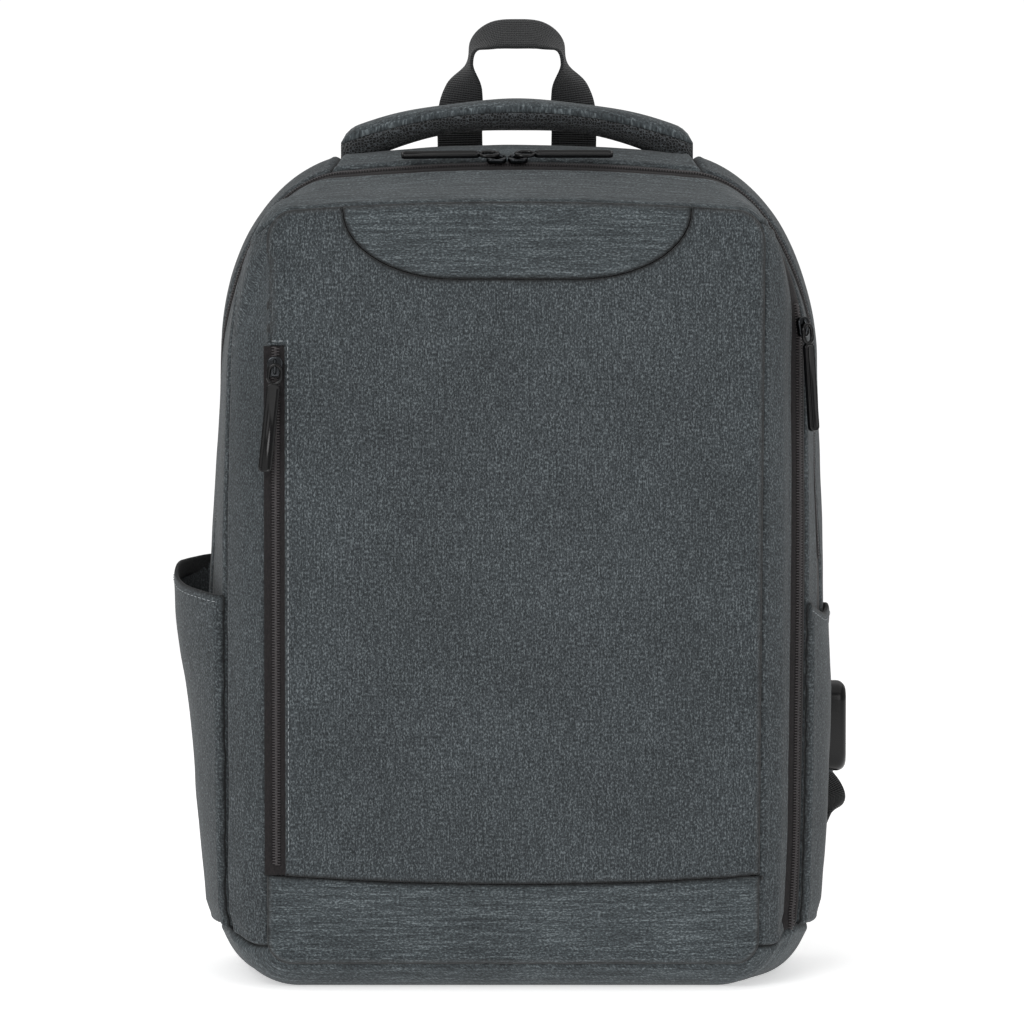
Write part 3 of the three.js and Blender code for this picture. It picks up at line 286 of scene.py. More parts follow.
def face_lift(x, z):
    """How far the face stands out in front of its rim."""
    u, v = (x - FACE_X) / FACE_HALF_X, (z - FACE_Z) / FACE_HALF_Z
    fade = np.maximum(0, 1 - u ** 6) * np.maximum(0, 1 - v ** 8)
    crown = FACE_CROWN * (1 - 0.6 * u * u) * (1 - 0.35 * v * v)
    dents = sum(push * DENT_DEPTH * bell(u - a, reach) * bell(v - b, up) for a, b, reach, up, push in DENTS)
    return fade * (crown + dents)


# Meshes
SEAM_REACH = 1.35
LIP_HEIGHT = 0.45
LIP_PLACE, LIP_WIDTH = 3.2, 1.5
PUCKER_SIZE, PUCKER_REACH, PUCKER_HEIGHT = 6, 7, 0.35
SHADE_REACH = 0.48
SEAM_ROOM = 9
# Distances from a seam where a mesh has its first rows
SEAM_STEPS = (0, 0.5, 1.1, 1.9, 3.0, 4.4, 6.2)
# Soft waves of cloth: size, seed and share
WALL_WAVES = ((46, 1.3, 1), (17, 5.1, 0.4))
FACE_WAVES = ((58, 2.2, 1), (21, 7.9, 0.35))
POCKET_WAVES = ((40, 4.4, 0.7), (14, 6.1, 0.3))


def ripple(points, size, seed=0.0):
    """Smooth noise from -1 to 1 over points, with bumps of a given size."""
    scaled = np.asarray(points) / size + seed
    return np.array([noise.noise(p) for p in scaled.reshape(-1, 3)]).reshape(scaled.shape[:-1])


def waves(points, rows, height=1):
    """Soft waves over cloth, as a sum of smooth noises."""
    return sum(share * height * ripple(points, size, seed) for size, seed, share in rows)


def make_mesh(name, points, faces, uvs=None, painted_shade=None):
    """A smooth-shaded object from points in millimetres. It carries the cloth's flat coordinates, in metres,
    and the shade painted into its seams as a darkening of the colour."""
    mesh = bpy.data.meshes.new(name)
    mesh.from_pydata((np.asarray(points).reshape(-1, 3) * MM).tolist(), [], faces)
    if uvs is not None:
        layer = mesh.uv_layers.new(name="cloth")
        index = np.empty(len(mesh.loops), int)
        mesh.loops.foreach_get("vertex_index", index)
        flat = np.asarray(uvs, np.float32).reshape(-1, 2) * MM
        layer.data.foreach_set("uv", flat[index].ravel())
    if painted_shade is not None:
        shade = mesh.attributes.new("painted_shade", "FLOAT", "POINT")
        shade.data.foreach_set("value", np.ravel(painted_shade).astype(np.float32))
    mesh.validate()
    mesh.shade_smooth()
    piece = bpy.data.objects.new(name, mesh)
    bpy.context.scene.collection.objects.link(piece)
    return piece


def face_out(piece, middle=BODY_MIDDLE):
    """Turns a sheet's faces away from a middle point."""
    mesh = piece.data
    total = sum(p.area * p.normal.dot(p.center - Vector(middle) * MM) for p in mesh.polygons)
    if total < 0:
        mesh.flip_normals()
    return piece


def grid_faces(columns, rows, wrap=False):
    faces = []
    for j in range(rows - 1):
        for i in range(columns - (0 if wrap else 1)):
            k = (i + 1) % columns
            faces.append((j * columns + i, j * columns + k, (j + 1) * columns + k, (j + 1) * columns + i))
    return faces


def tube_faces(around, rows):
    """The faces of a closed tube of points, with both ends capped."""
    last = (rows - 1) * around
    caps = [tuple(reversed(range(around))), tuple(last + k for k in range(around))]
    return grid_faces(around, rows, wrap=True) + caps


def spread(start, end, length, step=2.4):
    """Places from start to end, close together near both ends, over a length in millimetres."""
    edge = [d for d in SEAM_STEPS if d < length * 0.3]
    inner = max(2, int((length - 2 * edge[-1]) / step))
    middle = np.linspace(edge[-1], length - edge[-1], inner + 1)
    lengths = np.concatenate([edge[:-1], middle, length - np.array(edge[:-1][::-1])])
    return start + (end - start) * lengths / length


def arc(points, axis):
    """Distances along one axis of a grid of points."""
    steps = norm(np.diff(points, axis=axis), axis=-1)
    first = np.zeros_like(np.take(steps, [0], axis=axis))
    return np.concatenate([first, np.cumsum(steps, axis=axis)], axis=axis)


def seam_dip(distance, points, depth, seed=0.0, pucker=1.0):
    """How far cloth sinks towards a seam, with a raised lip beside it and small puckers along it."""
    small = ripple(points, PUCKER_SIZE, seed) * pucker
    valley = np.exp(-((distance / SEAM_REACH) ** 1.5))
    lip = bell(distance - LIP_PLACE, LIP_WIDTH)
    wide = bell(distance, PUCKER_REACH)
    raised = LIP_HEIGHT * min(depth, 1) * lip * (1 + 0.6 * small)
    return depth * valley * (1 + 0.3 * small) - raised + PUCKER_HEIGHT * wide * small


def seam_shade(distance, depth):
    """How much painted shade darkens the fold of a seam, from 0 to 1: a deeper seam is darker and wider."""
    return np.clip(depth / 2, 0, 1) * np.exp(-((distance / (SHADE_REACH * np.maximum(depth, 0.5))) ** 2))


def solidify(piece, thick):
    mod = piece.modifiers.new("thickness", "SOLIDIFY")
    mod.thickness = thick * MM
    mod.offset = -1
    return piece


def dress(piece, slot, *nodes, look=None):
    """Gives a piece its material and its place in the frame."""
    piece.data.materials.clear()
    piece.data.materials.append(LOOKS[look or slot])
    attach(piece, "root")
    if nodes:
        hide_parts(*nodes)
    return piece


def cloth_piece(name, points, faces, uvs, thick, slot, *nodes, painted_shade=None):
    """A sheet of cloth from its outer side, thickened towards the body."""
    piece = face_out(make_mesh(name, points, faces, uvs, painted_shade))
    return dress(solidify(piece, thick), slot, *nodes)


# Materials
def linear(code):
    """A linear colour from an sRGB hex value."""
    parts = [int(code[k:k + 2], 16) / 255 for k in (1, 3, 5)]
    return [c / 12.92 if c <= 0.04045 else ((c + 0.055) / 1.055) ** 2.4 for c in parts] + [1]


def node(tree, kind, links=(), **settings):
    """Adds a node. Links go to sockets by name or number, as a value or as another node's output."""
    made = tree.nodes.new(kind)
    for key, value in settings.items():
        setattr(made, key, value)
    for socket, value in dict(links).items():
        if isinstance(value, bpy.types.Node):
            value = value.outputs[0]
        if isinstance(value, bpy.types.NodeSocket):
            tree.links.new(value, made.inputs[socket])
        else:
            made.inputs[socket].default_value = value
    return made


def finish_look(name, colour, bump, strength, reach, **shader):
    """A material from functions that make its colour and its height, and the shader's own values."""
    look = bpy.data.materials.new(name)
    look.use_nodes = True
    tree = look.node_tree
    surface = tree.nodes["Principled BSDF"]
    for key, value in shader.items():
        surface.inputs[key.replace("_", " ")].default_value = value
    shown = colour(tree)
    shown = shown.outputs[0] if isinstance(shown, bpy.types.Node) else shown
    tree.links.new(shown, surface.inputs["Base Color"])
    if bump:
        settings = {"Height": bump(tree), "Strength": strength, "Distance": reach * MM}
        raised = node(tree, "ShaderNodeBump", settings)
        tree.links.new(raised.outputs[0], surface.inputs["Normal"])
    return look


def flat_place(tree, across, along):
    """The cloth's own flat coordinates, counted in repeats of the given millimetres."""
    cloth = node(tree, "ShaderNodeUVMap", uv_map="cloth")
    scale = (1 / (across * MM), 1 / (along * MM), 1)
    return node(tree, "ShaderNodeMapping", {"Vector": cloth, "Scale": scale})


def solid_place(tree, x, y, z):
    """Object coordinates, counted in repeats of the given millimetres."""
    place = node(tree, "ShaderNodeTexCoord")
    scale = (1 / (x * MM), 1 / (y * MM), 1 / (z * MM))
    return node(tree, "ShaderNodeMapping", {"Vector": place.outputs["Object"], "Scale": scale})


def streaks(tree, place, detail=2.0, rough=0.6):
    settings = {"Vector": place, "Scale": 1.0, "Detail": detail, "Roughness": rough}
    return node(tree, "ShaderNodeTexNoise", settings)


def ramp(tree, value, *stops):
    made = node(tree, "ShaderNodeValToRGB", {"Fac": value})
    elements = made.color_ramp.elements
    while len(elements) < len(stops):
        elements.new(0.5)
    for element, (place, colour) in zip(elements, stops):
        element.position = place
        element.color = linear(colour)
    return made


def sum_of(tree, first, second, operation="ADD"):
    return node(tree, "ShaderNodeMath", {0: first, 1: second}, operation=operation)


def times(tree, first, second):
    return sum_of(tree, first, second, "MULTIPLY")


def melange(name, dark, middle, light, level=False):
    """Melange polyester: a plain weave of thread dyed in two greys, so a fine speckle and short paler and
    darker streaks lie along the grain. Threads lie 0.45 mm apart and are drawn at 0.75 mm, to show."""
    def place(tree, across, along):
        return flat_place(tree, along, across) if level else flat_place(tree, across, along)

    def shade(tree):
        speckle = streaks(tree, place(tree, 0.75, 1.3), 2.0, 0.7)
        streak = streaks(tree, place(tree, 0.8, 6), 2.0, 0.6)
        slub = streaks(tree, place(tree, 1.8, 34 if level else 20), 2.0, 0.5)
        shares = (0.54, 0.24, 0.22) if level else (0.66, 0.24, 0.1)
        parts = [times(tree, part, share) for part, share in zip((speckle, streak, slub), shares)]
        return sum_of(tree, sum_of(tree, parts[0], parts[1]), parts[2])

    def colour(tree):
        broad = streaks(tree, solid_place(tree, 60, 60, 60), 2.0, 0.5)
        tone = ramp(tree, shade(tree), (0.4, dark), (0.49, middle), (0.515, middle), (0.61, light))
        patch = ramp(tree, broad, (0.3, "#E6E6E6"), (0.7, "#FFFFFF"))
        # Painted shade: the seams' shade stored on the mesh multiplies the colour down towards #505050 of
        # itself.
        painted_shade = node(tree, "ShaderNodeAttribute", attribute_name="painted_shade")
        shaded = ramp(tree, painted_shade.outputs["Fac"], (0.0, "#FFFFFF"), (1.0, "#505050"))
        for veil in (patch, shaded):
            mix = node(tree, "ShaderNodeMix", {0: 1.0, 6: tone, 7: veil}, data_type="RGBA",
                       blend_type="MULTIPLY")
            tone = mix.outputs[2]
        return tone

    return finish_look(name, colour, shade, 0.45, 0.5,
                       Roughness=0.92, Sheen_Weight=0.1, Sheen_Roughness=0.6, Specular_IOR_Level=0.2)


def plain_cloth(name, dark, light, size, strength, rough=0.9):
    """Dyed tape or thread: small uneven yarn over one colour."""
    def height(tree):
        return streaks(tree, solid_place(tree, size, size, size), 2.0)

    def colour(tree):
        yarn = streaks(tree, solid_place(tree, size, size, size * 2), 3.0)
        return ramp(tree, yarn, (0.35, dark), (0.7, light))
    return finish_look(name, colour, height, strength, 0.4, Roughness=rough, Sheen_Weight=0.1,
                       Specular_IOR_Level=0.3)


def ribbed(name, dark, light, rib):
    """Woven nylon webbing: ribs lie across the band, and each rib is a row of small knots of yarn."""
    def ribs(tree):
        split = node(tree, "ShaderNodeSeparateXYZ", {"Vector": flat_place(tree, rib * 1.3, rib)})
        turns = [times(tree, split.outputs[k], 2 * math.pi) for k in (0, 1)]
        parts = [node(tree, "ShaderNodeMath", {0: turn}, operation="SINE") for turn in turns]
        return sum_of(tree, times(tree, parts[0], 0.35), parts[1])

    def colour(tree):
        # Painted shade: the colour follows the rib relief, darker in the grooves between the ribs than on
        # their crests.
        shade = sum_of(tree, times(tree, ribs(tree), 0.25), 0.5)
        return ramp(tree, shade, (0.2, dark), (0.85, light))
    return finish_look(name, colour, ribs, 0.7, 0.5, Roughness=0.62, Sheen_Weight=0.1,
                       Specular_IOR_Level=0.4)


def net(name, dark, light, hole):
    """Spacer mesh: a knitted net with small open holes over a darker layer."""
    def cells(tree):
        return node(tree, "ShaderNodeTexVoronoi",
                    {"Vector": solid_place(tree, hole, hole, hole), "Scale": 1.0, "Randomness": 0.75},
                    feature="DISTANCE_TO_EDGE")

    def height(tree):
        return ramp(tree, cells(tree), (0.02, "#FFFFFF"), (0.3, "#000000"))

    def colour(tree):
        return ramp(tree, cells(tree), (0.03, light), (0.11, dark))
    return finish_look(name, colour, height, 0.9, 0.7, Roughness=0.85, Sheen_Weight=0.1,
                       Specular_IOR_Level=0.3)


def moulded(name, base, rough, metallic=0.0, shine=0.5):
    """Moulded or die-cast pieces: an even colour with a faint mottle, and a skin that scatters a little."""
    def colour(tree):
        darker = "#" + "".join("%02X" % max(0, int(base[k:k + 2], 16) - 6) for k in (1, 3, 5))
        return ramp(tree, streaks(tree, solid_place(tree, 3, 3, 3)), (0.3, darker), (0.7, base))

    def height(tree):
        return streaks(tree, solid_place(tree, 0.8, 0.8, 0.8), 3.0)
    return finish_look(name, colour, height, 0.05, 0.1, Roughness=rough, Metallic=metallic,
                       Specular_IOR_Level=shine)


CLOTH_DARK, CLOTH_MIDDLE, CLOTH_LIGHT = "#202426", "#383D40", "#646B6E"
LOOKS = {
    "melange_cloth": melange("melange_polyester_upright", CLOTH_DARK, CLOTH_MIDDLE, CLOTH_LIGHT),
    "cross_melange_cloth": melange("melange_polyester_level", "#25292B", "#3E4447", "#6E7679", level=True),
    "zip_tape": plain_cloth("knitted_zip_tape", "#100E0F", "#231F20", 0.7, 0.4),
    "zip_coil": moulded("nylon_coil", "#3A3637", 0.4),
    "webbing": ribbed("nylon_webbing", "#080809", "#222426", 1.15),
    "spacer_mesh": net("spacer_mesh", "#0B0C0D", "#45494C", 1.5),
    "gloss_plastic": moulded("gloss_black_plastic", "#09090A", 0.2, shine=0.3),
    "dark_metal": moulded("plated_dark_metal", "#3A3C3E", 0.22, metallic=1.0),
    "thread": plain_cloth("grey_sewing_thread", "#7E8487", "#A8ADB0", 0.3, 0.3, 0.7),
}


# What repeats along a path: stitches and coil teeth
def repeat_tree():
    tree = bpy.data.node_groups.new("repeat_along_path", "GeometryNodeTree")
    face = tree.interface
    face.new_socket("Path", in_out="INPUT", socket_type="NodeSocketGeometry")
    face.new_socket("Pitch", in_out="INPUT", socket_type="NodeSocketFloat")
    face.new_socket("Shape", in_out="INPUT", socket_type="NodeSocketObject")
    face.new_socket("Finish", in_out="INPUT", socket_type="NodeSocketMaterial")
    face.new_socket("Pieces", in_out="OUTPUT", socket_type="NodeSocketGeometry")
    given = node(tree, "NodeGroupInput")
    curve = node(tree, "GeometryNodeMeshToCurve", {"Mesh": given.outputs["Path"]})
    rows = node(tree, "GeometryNodeCurveToPoints",
                {"Curve": curve, "Length": given.outputs["Pitch"]}, mode="LENGTH")
    out = node(tree, "GeometryNodeInputNamedAttribute", {"Name": "out"}, data_type="FLOAT_VECTOR")
    turn = node(tree, "FunctionNodeAxesToRotation",
                {"Primary Axis": rows.outputs["Tangent"], "Secondary Axis": out.outputs[0]},
                primary_axis="X", secondary_axis="Z")
    shape = node(tree, "GeometryNodeObjectInfo", {"Object": given.outputs["Shape"]})
    copies = node(tree, "GeometryNodeInstanceOnPoints",
                  {"Points": rows.outputs["Points"], "Instance": shape.outputs["Geometry"], "Rotation": turn})
    real = node(tree, "GeometryNodeRealizeInstances", {"Geometry": copies})
    finish = node(tree, "GeometryNodeSetMaterial", {"Geometry": real, "Material": given.outputs["Finish"]})
    node(tree, "NodeGroupOutput", {"Pieces": finish})
    return tree


REPEAT = repeat_tree()


def repeat_along(name, paths, shape, pitch, look):
    """One mesh of copies of a shape along paths. A path is its points and the ways out of the surface."""
    points, edges, outs = [], [], []
    for path, out in paths:
        start = len(points)
        points += np.asarray(path).tolist()
        outs += unit(np.broadcast_to(out, np.asarray(path).shape)).tolist()
        edges += [(start + k, start + k + 1) for k in range(len(path) - 1)]
    mesh = bpy.data.meshes.new(name)
    mesh.from_pydata((np.array(points) * MM).tolist(), edges, [])
    mesh.attributes.new("out", "FLOAT_VECTOR", "POINT").data.foreach_set("vector", np.ravel(outs))
    holder = bpy.data.objects.new(name + "_path", mesh)
    bpy.context.scene.collection.objects.link(holder)
    mod = holder.modifiers.new("repeat", "NODES")
    mod.node_group = REPEAT
    names = {item.name: item.identifier for item in REPEAT.interface.items_tree if item.in_out == "INPUT"}
    mod[names["Pitch"]] = pitch * MM
    mod[names["Shape"]] = shape
    mod[names["Finish"]] = look
    bpy.context.view_layer.update()
    graph = bpy.context.evaluated_depsgraph_get()
    made = bpy.data.meshes.new_from_object(holder.evaluated_get(graph))
    bpy.data.objects.remove(holder)
    made.name = name
    made.shade_smooth()
    piece = bpy.data.objects.new(name, made)
    bpy.context.scene.collection.objects.link(piece)
    return piece


def bar_shape(name, bars):
    """A hidden shape of short round bars, each as a start, an end and a radius in millimetres."""
    points, faces, sides = [], [], 6
    for start, end, radius in bars:
        start, end = np.array(start, float), np.array(end, float)
        along = unit(end - start)
        side = unit(np.cross(along, (0, 0, 1) if abs(along[2]) < 0.9 else (1, 0, 0)))
        other = np.cross(along, side)
        base = len(points)
        for share, grow in ((0, 0.35), (0.18, 1), (0.82, 1), (1, 0.35)):
            middle = start + (end - start) * share
            for k in range(sides):
                turn = 2 * math.pi * k / sides
                points.append(middle + radius * grow * (math.cos(turn) * side + math.sin(turn) * other))
        faces += [tuple(base + k for k in face) for face in tube_faces(sides, 4)]
    shape = make_mesh(name, points, faces)
    bpy.context.scene.collection.objects.unlink(shape)
    return shape


STITCH_PITCH = 3.3
COIL_PITCH = 1.35
STITCH = bar_shape("stitch", [((-1.0, 0, 0.02), (1.0, 0, 0.02), 0.19)])
TEETH = bar_shape("teeth", [
    ((-0.33, -2.0, 0.25), (-0.33, 0.7, 0.75), 0.36), ((0.33, -0.7, 0.75), (0.33, 2.0, 0.25), 0.36),
])


def stitches(name, paths):
    piece = repeat_along(name, paths, STITCH, STITCH_PITCH, LOOKS["thread"])
    return dress(piece, "melange_cloth", look="thread")


# The body's wall
WALL_DIP, WALL_WAVE, WALL_SEED = 2.1, 0.5, 3.7


def wall_panel(name, start, end, near, far, slot="melange_cloth", thick=CLOTH, lift=0.0,
               depth=WALL_DIP, wave=WALL_WAVE, pucker=1.0, sink=None):
    """A cloth panel of the wall between two places along the ring and two depths, sunk towards its seams."""
    middle = (near + far) / 2
    rough = wall_point(np.linspace(start, end, 40), middle)
    length = arc(rough, 0)[-1]
    down = wall_point((start + end) / 2, np.linspace(near, far, 20))
    width = arc(down, 0)[-1]
    edge = GAP / 2
    along = spread(start + (end - start) * edge / length, end - (end - start) * edge / length, length)
    deep = spread(near + deep_of(edge), far - deep_of(edge), width)
    grid_a, grid_d = np.meshgrid(along, deep)
    base = wall_point(grid_a, grid_d, lift)
    run, cross = arc(base, 1), arc(base, 0)
    dip, painted_shade = np.zeros((2, *base.shape[:2]))
    gaps = (run, run[:, -1:] - run, cross, cross[-1:] - cross)
    for k, distance in enumerate(gaps):
        sunk = np.maximum(dip, 0) + seam_dip(distance, base, depth, WALL_SEED * k, pucker)
        dip = np.where(distance < SEAM_ROOM, sunk, dip)
        # Painted shade along the panel's seams, darker where the seam sinks deeper.
        painted_shade = np.maximum(painted_shade, seam_shade(distance, depth))
    if sink:
        dip = dip + sink(grid_a, grid_d)
    soft = waves(base, WALL_WAVES, wave)
    points = wall_point(grid_a, grid_d, lift - dip + soft)
    uvs = np.stack([run, cross] if slot == "cross_melange_cloth" else [cross, run], axis=-1)
    piece = cloth_piece(name, points, grid_faces(len(along), len(deep)), uvs, thick, slot,
                        name.replace("_cloth", ""), painted_shade=painted_shade)


ZIP_FALL = 4.5
ZIP_FALL_ALONG, ZIP_FALL_REACH = 0.93, 0.13
ZIP_FALL_DEEP, ZIP_FALL_REACH_DEEP = 0.035, 0.04


def beside_zip(along, deep):
    """The cloth above the left zip falls in beside the face."""
    fall = ZIP_FALL * bell(along - ZIP_FALL_ALONG, ZIP_FALL_REACH)
    return fall * bell(deep - ZIP_FALL_DEEP, ZIP_FALL_REACH_DEEP)


for side, start, end in (("left", BASE_LEFT, CORNER_LEFT), ("right", CORNER_RIGHT, BASE_RIGHT)):
    wall_panel(f"front_gusset_{side}_cloth", start, end, 0, SEAM_DEEP,
               sink=beside_zip if side == "left" else None)
wall_panel("top_panel_cloth", CORNER_LEFT, CORNER_RIGHT, 0, MAIN_NEAR, "cross_melange_cloth")
wall_panel("side_panel_left_cloth", BASE_LEFT, CORNER_LEFT, SEAM_DEEP, MAIN_NEAR)
wall_panel("side_panel_right_cloth", CORNER_RIGHT, BASE_RIGHT, SIDE_ZIP_DEEP, MAIN_NEAR)
wall_panel("gusset_left_cloth", BASE_LEFT, HANDLE_LEFT, MAIN_FAR, 1)
wall_panel("gusset_top_cloth", HANDLE_LEFT, HANDLE_RIGHT, MAIN_FAR, 1, "cross_melange_cloth")
wall_panel("gusset_right_cloth", HANDLE_RIGHT, BASE_RIGHT, MAIN_FAR, 1)
wall_panel("base_panel_cloth", BASE_RIGHT, STRETCHES + BASE_LEFT, 0, 1, "cross_melange_cloth", wave=0.0)
TAPE = dict(slot="zip_tape", depth=0.4, wave=0.1, thick=1.2, lift=-0.6, pucker=0.1)
wall_panel("right_zip_tape_cloth", CORNER_RIGHT, BASE_RIGHT, SEAM_DEEP, SIDE_ZIP_DEEP, **TAPE)
wall_panel("main_zip_tape_cloth", BASE_LEFT, BASE_RIGHT, MAIN_NEAR, MAIN_FAR, **TAPE)


# The face, cut from one crowned surface
FACE_WAVE, FACE_CALM = 0.55, 12
MESH_STEP, EDGE_STEP = 2.2, 1.6
EDGE_ROWS, EDGE_ROOM = (0.5, 1.1, 1.9, 3.1), 4.6


def inside(points, outline):
    """Which points lie inside a closed outline."""
    x, z = points[:, 0:1], points[:, 1:2]
    a, b = outline, np.roll(outline, -1, axis=0)
    crosses = (a[:, 1] > z) != (b[:, 1] > z)
    rise = np.where(np.abs(b[:, 1] - a[:, 1]) < 1e-9, 1e-9, b[:, 1] - a[:, 1])
    at = a[:, 0] + (z - a[:, 1]) * (b[:, 0] - a[:, 0]) / rise
    return (crosses & (x < at)).sum(axis=1) % 2 == 1


def edge_distance(points, outline, depths):
    """The distance to a closed outline, and how deep the seam is at the nearest place."""
    best = np.full(len(points), 1e9)
    depth = np.zeros(len(points))
    a, b = outline, np.roll(outline, -1, axis=0)
    for p, q, d in zip(a, b, depths):
        way = q - p
        t = np.clip(((points - p) @ way) / max(way @ way, 1e-9), 0, 1)
        distance = norm(points - (p + t[:, None] * way), axis=1)
        closer = distance < best
        best[closer] = distance[closer]
        depth[closer] = d
    return best, depth


def resample(rows, step):
    """Points along a closed outline of rows of x, z and seam depth, with its corners kept."""
    rows = np.array(rows, float)
    made = []
    for p, q in zip(rows, np.roll(rows, -1, axis=0)):
        count = max(1, int(round(np.hypot(*(q - p)[:2]) / step)))
        for k in range(count):
            row = p + (q - p) * k / count
            row[2] = p[2]
            made.append(row)
    return np.array(made)


def patch(outline_rows, step=MESH_STEP):
    """A flat mesh of x and z inside an outline, finer at its edge, with each point's edge distance and
    seam depth."""
    rows = resample(outline_rows, EDGE_STEP)
    outline, depths = rows[:, :2], rows[:, 2]
    low, high = outline.min(axis=0), outline.max(axis=0)
    xs, zs = np.arange(low[0], high[0], step), np.arange(low[1], high[1], step * 0.87)
    grid = np.array([(x + (step / 2 if j % 2 else 0), z) for j, z in enumerate(zs) for x in xs])
    grid = grid[inside(grid, outline)]
    far, _ = edge_distance(grid, outline, depths)
    points = [grid[far > EDGE_ROOM]]
    ahead, behind = np.roll(outline, -1, axis=0), np.roll(outline, 1, axis=0)
    way = unit(ahead - behind)
    area = np.sum(outline[:, 0] * ahead[:, 1] - ahead[:, 0] * outline[:, 1])
    inward = np.stack([-way[:, 1], way[:, 0]], axis=1) * (1 if area > 0 else -1)
    for offset in EDGE_ROWS:
        ring = outline + inward * offset
        ring = ring[inside(ring, outline)]
        distance, _ = edge_distance(ring, outline, depths)
        points.append(ring[distance > offset * 0.9])
    cloud = np.concatenate([outline, *points])
    edges = [(k, (k + 1) % len(outline)) for k in range(len(outline))]
    made = delaunay_2d_cdt([Vector(p) for p in cloud], edges, [list(range(len(outline)))], 1, 1e-4)
    flat = np.array([tuple(v) for v in made[0]])
    distance, depth = edge_distance(flat, outline, depths)
    return flat, made[2], distance, depth


def face_piece(name, outline_rows, slot, *nodes, lift=0.0, thick=CLOTH, wave=FACE_WAVE, pucker=1.0):
    """A piece of the face: its flat cut, raised to the crown and sunk to its seams."""
    flat, faces, distance, depth = patch(outline_rows)
    x, z = flat[:, 0], flat[:, 1]
    base = np.stack([x, FRONT_Y - GAP - CLOTH - lift - face_lift(x, z), z], axis=-1)
    dip = seam_dip(distance / np.maximum(1, depth / RIM_DIP), base, 1.0, pucker=pucker) * depth
    soft = waves(base, FACE_WAVES, wave)
    soft *= np.clip(distance / FACE_CALM, 0, 1)
    base[:, 1] += dip - soft
    # The face's seams get painted shade in the colour, deeper seams darker and wider.
    piece = cloth_piece(name, base, faces, np.stack([x, z], axis=-1), thick, slot, *nodes,
                        painted_shade=seam_shade(distance, depth))


RIM_DIP, JOIN_DIP, FREE_DIP, FOLD_DIP = 2.6, 1.9, 0.8, 5
FOLD_TOP = 358
TAPE_DIP, TAPE_TUCK = 0.3, 1.5
ZIP_EDGE = -FACE["left"] + ZIP_TAPE_WIDTH - 2.4
ZIP_LOW, ZIP_HIGH = LEFT_ZIP_TOP - LEFT_ZIP_LENGTH, LEFT_ZIP_TOP


def ring_rows(start, end, depth, count, deep=0):
    """Rows of x, z and seam depth along a stretch of a ring."""
    x, z = ring_point(ring_at(np.full(count, deep)), np.linspace(start, end, count))
    return [(a, b, depth) for a, b in zip(x, z)]


def along_at(z, side):
    """The place on the left or right side of the face's ring at a height."""
    foot = FACE["foot"] + FACE["up"]
    top = FACE["top"] - FACE["left_down"]
    share = (z - foot) / (top - foot)
    return share if side < 0 else 5 - share


def along_top(x):
    start, end = -FACE["left"] + FACE["across"], FACE["right"] - FACE["across"]
    return 2 + (x - start) / (end - start)


def yoke_rows(grow, depth):
    half = YOKE_WIDTH / 2 + grow
    low = FACE["top"] - YOKE_DROP - grow
    rows = []
    for turn in np.linspace(0, QUARTER, 14):
        x, z = -half + YOKE_CORNER * (1 - math.cos(turn)), low + YOKE_DROP * (1 - math.sin(turn))
        rows.append((x, z, depth))
    return rows + [(-x, z, d) for x, z, d in reversed(rows)]


def band_top(x, grow=0.0):
    return FACE["foot"] + LOWER_BAND_HEIGHT + grow - LOWER_BAND_SAG * (1 - (x / HALF_WIDTH) ** 2)


def band_rows(x0, x1, grow, depth):
    return [(x, band_top(x, grow), depth) for x in np.linspace(x0, x1, 40)]


def front_panel():
    half = YOKE_WIDTH / 2 + GAP
    low = along_at(band_top(FACE["right"], GAP), 1)
    rows = [(ZIP_EDGE, band_top(ZIP_EDGE, GAP), FREE_DIP), (ZIP_EDGE, ZIP_HIGH + GAP, FREE_DIP)]
    rows += ring_rows(along_at(ZIP_HIGH + GAP, -1), along_at(FOLD_TOP, -1), FOLD_DIP, 20)[:-1]
    rows += ring_rows(along_at(FOLD_TOP, -1), along_top(-half), RIM_DIP, 50)
    rows += yoke_rows(GAP, JOIN_DIP)
    rows += ring_rows(along_top(half), low, RIM_DIP, 90)
    rows += band_rows(FACE["right"] - 0.5, ZIP_EDGE, GAP, JOIN_DIP)[1:-1]
    face_piece("front_panel_cloth", rows, "melange_cloth", "front_panel")


def yoke():
    half = YOKE_WIDTH / 2
    rows = ring_rows(along_top(half), along_top(-half), RIM_DIP, 40) + yoke_rows(0, JOIN_DIP)
    face_piece("yoke_cloth", rows, "cross_melange_cloth", "yoke")


def lower_band():
    right, left = along_at(band_top(FACE["right"]), 1), along_at(band_top(-FACE["left"]), -1)
    rows = ring_rows(right, STRETCHES + left, RIM_DIP, 90)
    rows += band_rows(-FACE["left"] + 0.5, FACE["right"] - 0.5, 0, JOIN_DIP)
    face_piece("lower_band_cloth", rows, "cross_melange_cloth", "lower_band")


def left_tape():
    low = band_top(-FACE["left"] + 4, GAP)
    start, end = -FACE["left"] - TAPE_TUCK, ZIP_EDGE + TAPE_TUCK
    rows = [(x, z, TAPE_DIP) for x, z in ((start, low), (end, low), (end, ZIP_HIGH), (start, ZIP_HIGH))]
    face_piece("left_zip_tape_cloth", rows, "zip_tape", "left_zip_tape", lift=-0.9, thick=1.2,
               wave=0.1, pucker=0.2)


front_panel(), yoke(), lower_band(), left_tape()


def on_face(x, z, out=0.0):
    x, z = np.broadcast_arrays(np.asarray(x, float), z)
    return np.stack([x, FRONT_Y - GAP - CLOTH - face_lift(x, z) - out, z], axis=-1)


# Coils
def coil(name, path, out, node_name):
    piece = repeat_along(name, [(path, out)], TEETH, COIL_PITCH, LOOKS["zip_coil"])
    return dress(piece, "zip_coil", node_name)


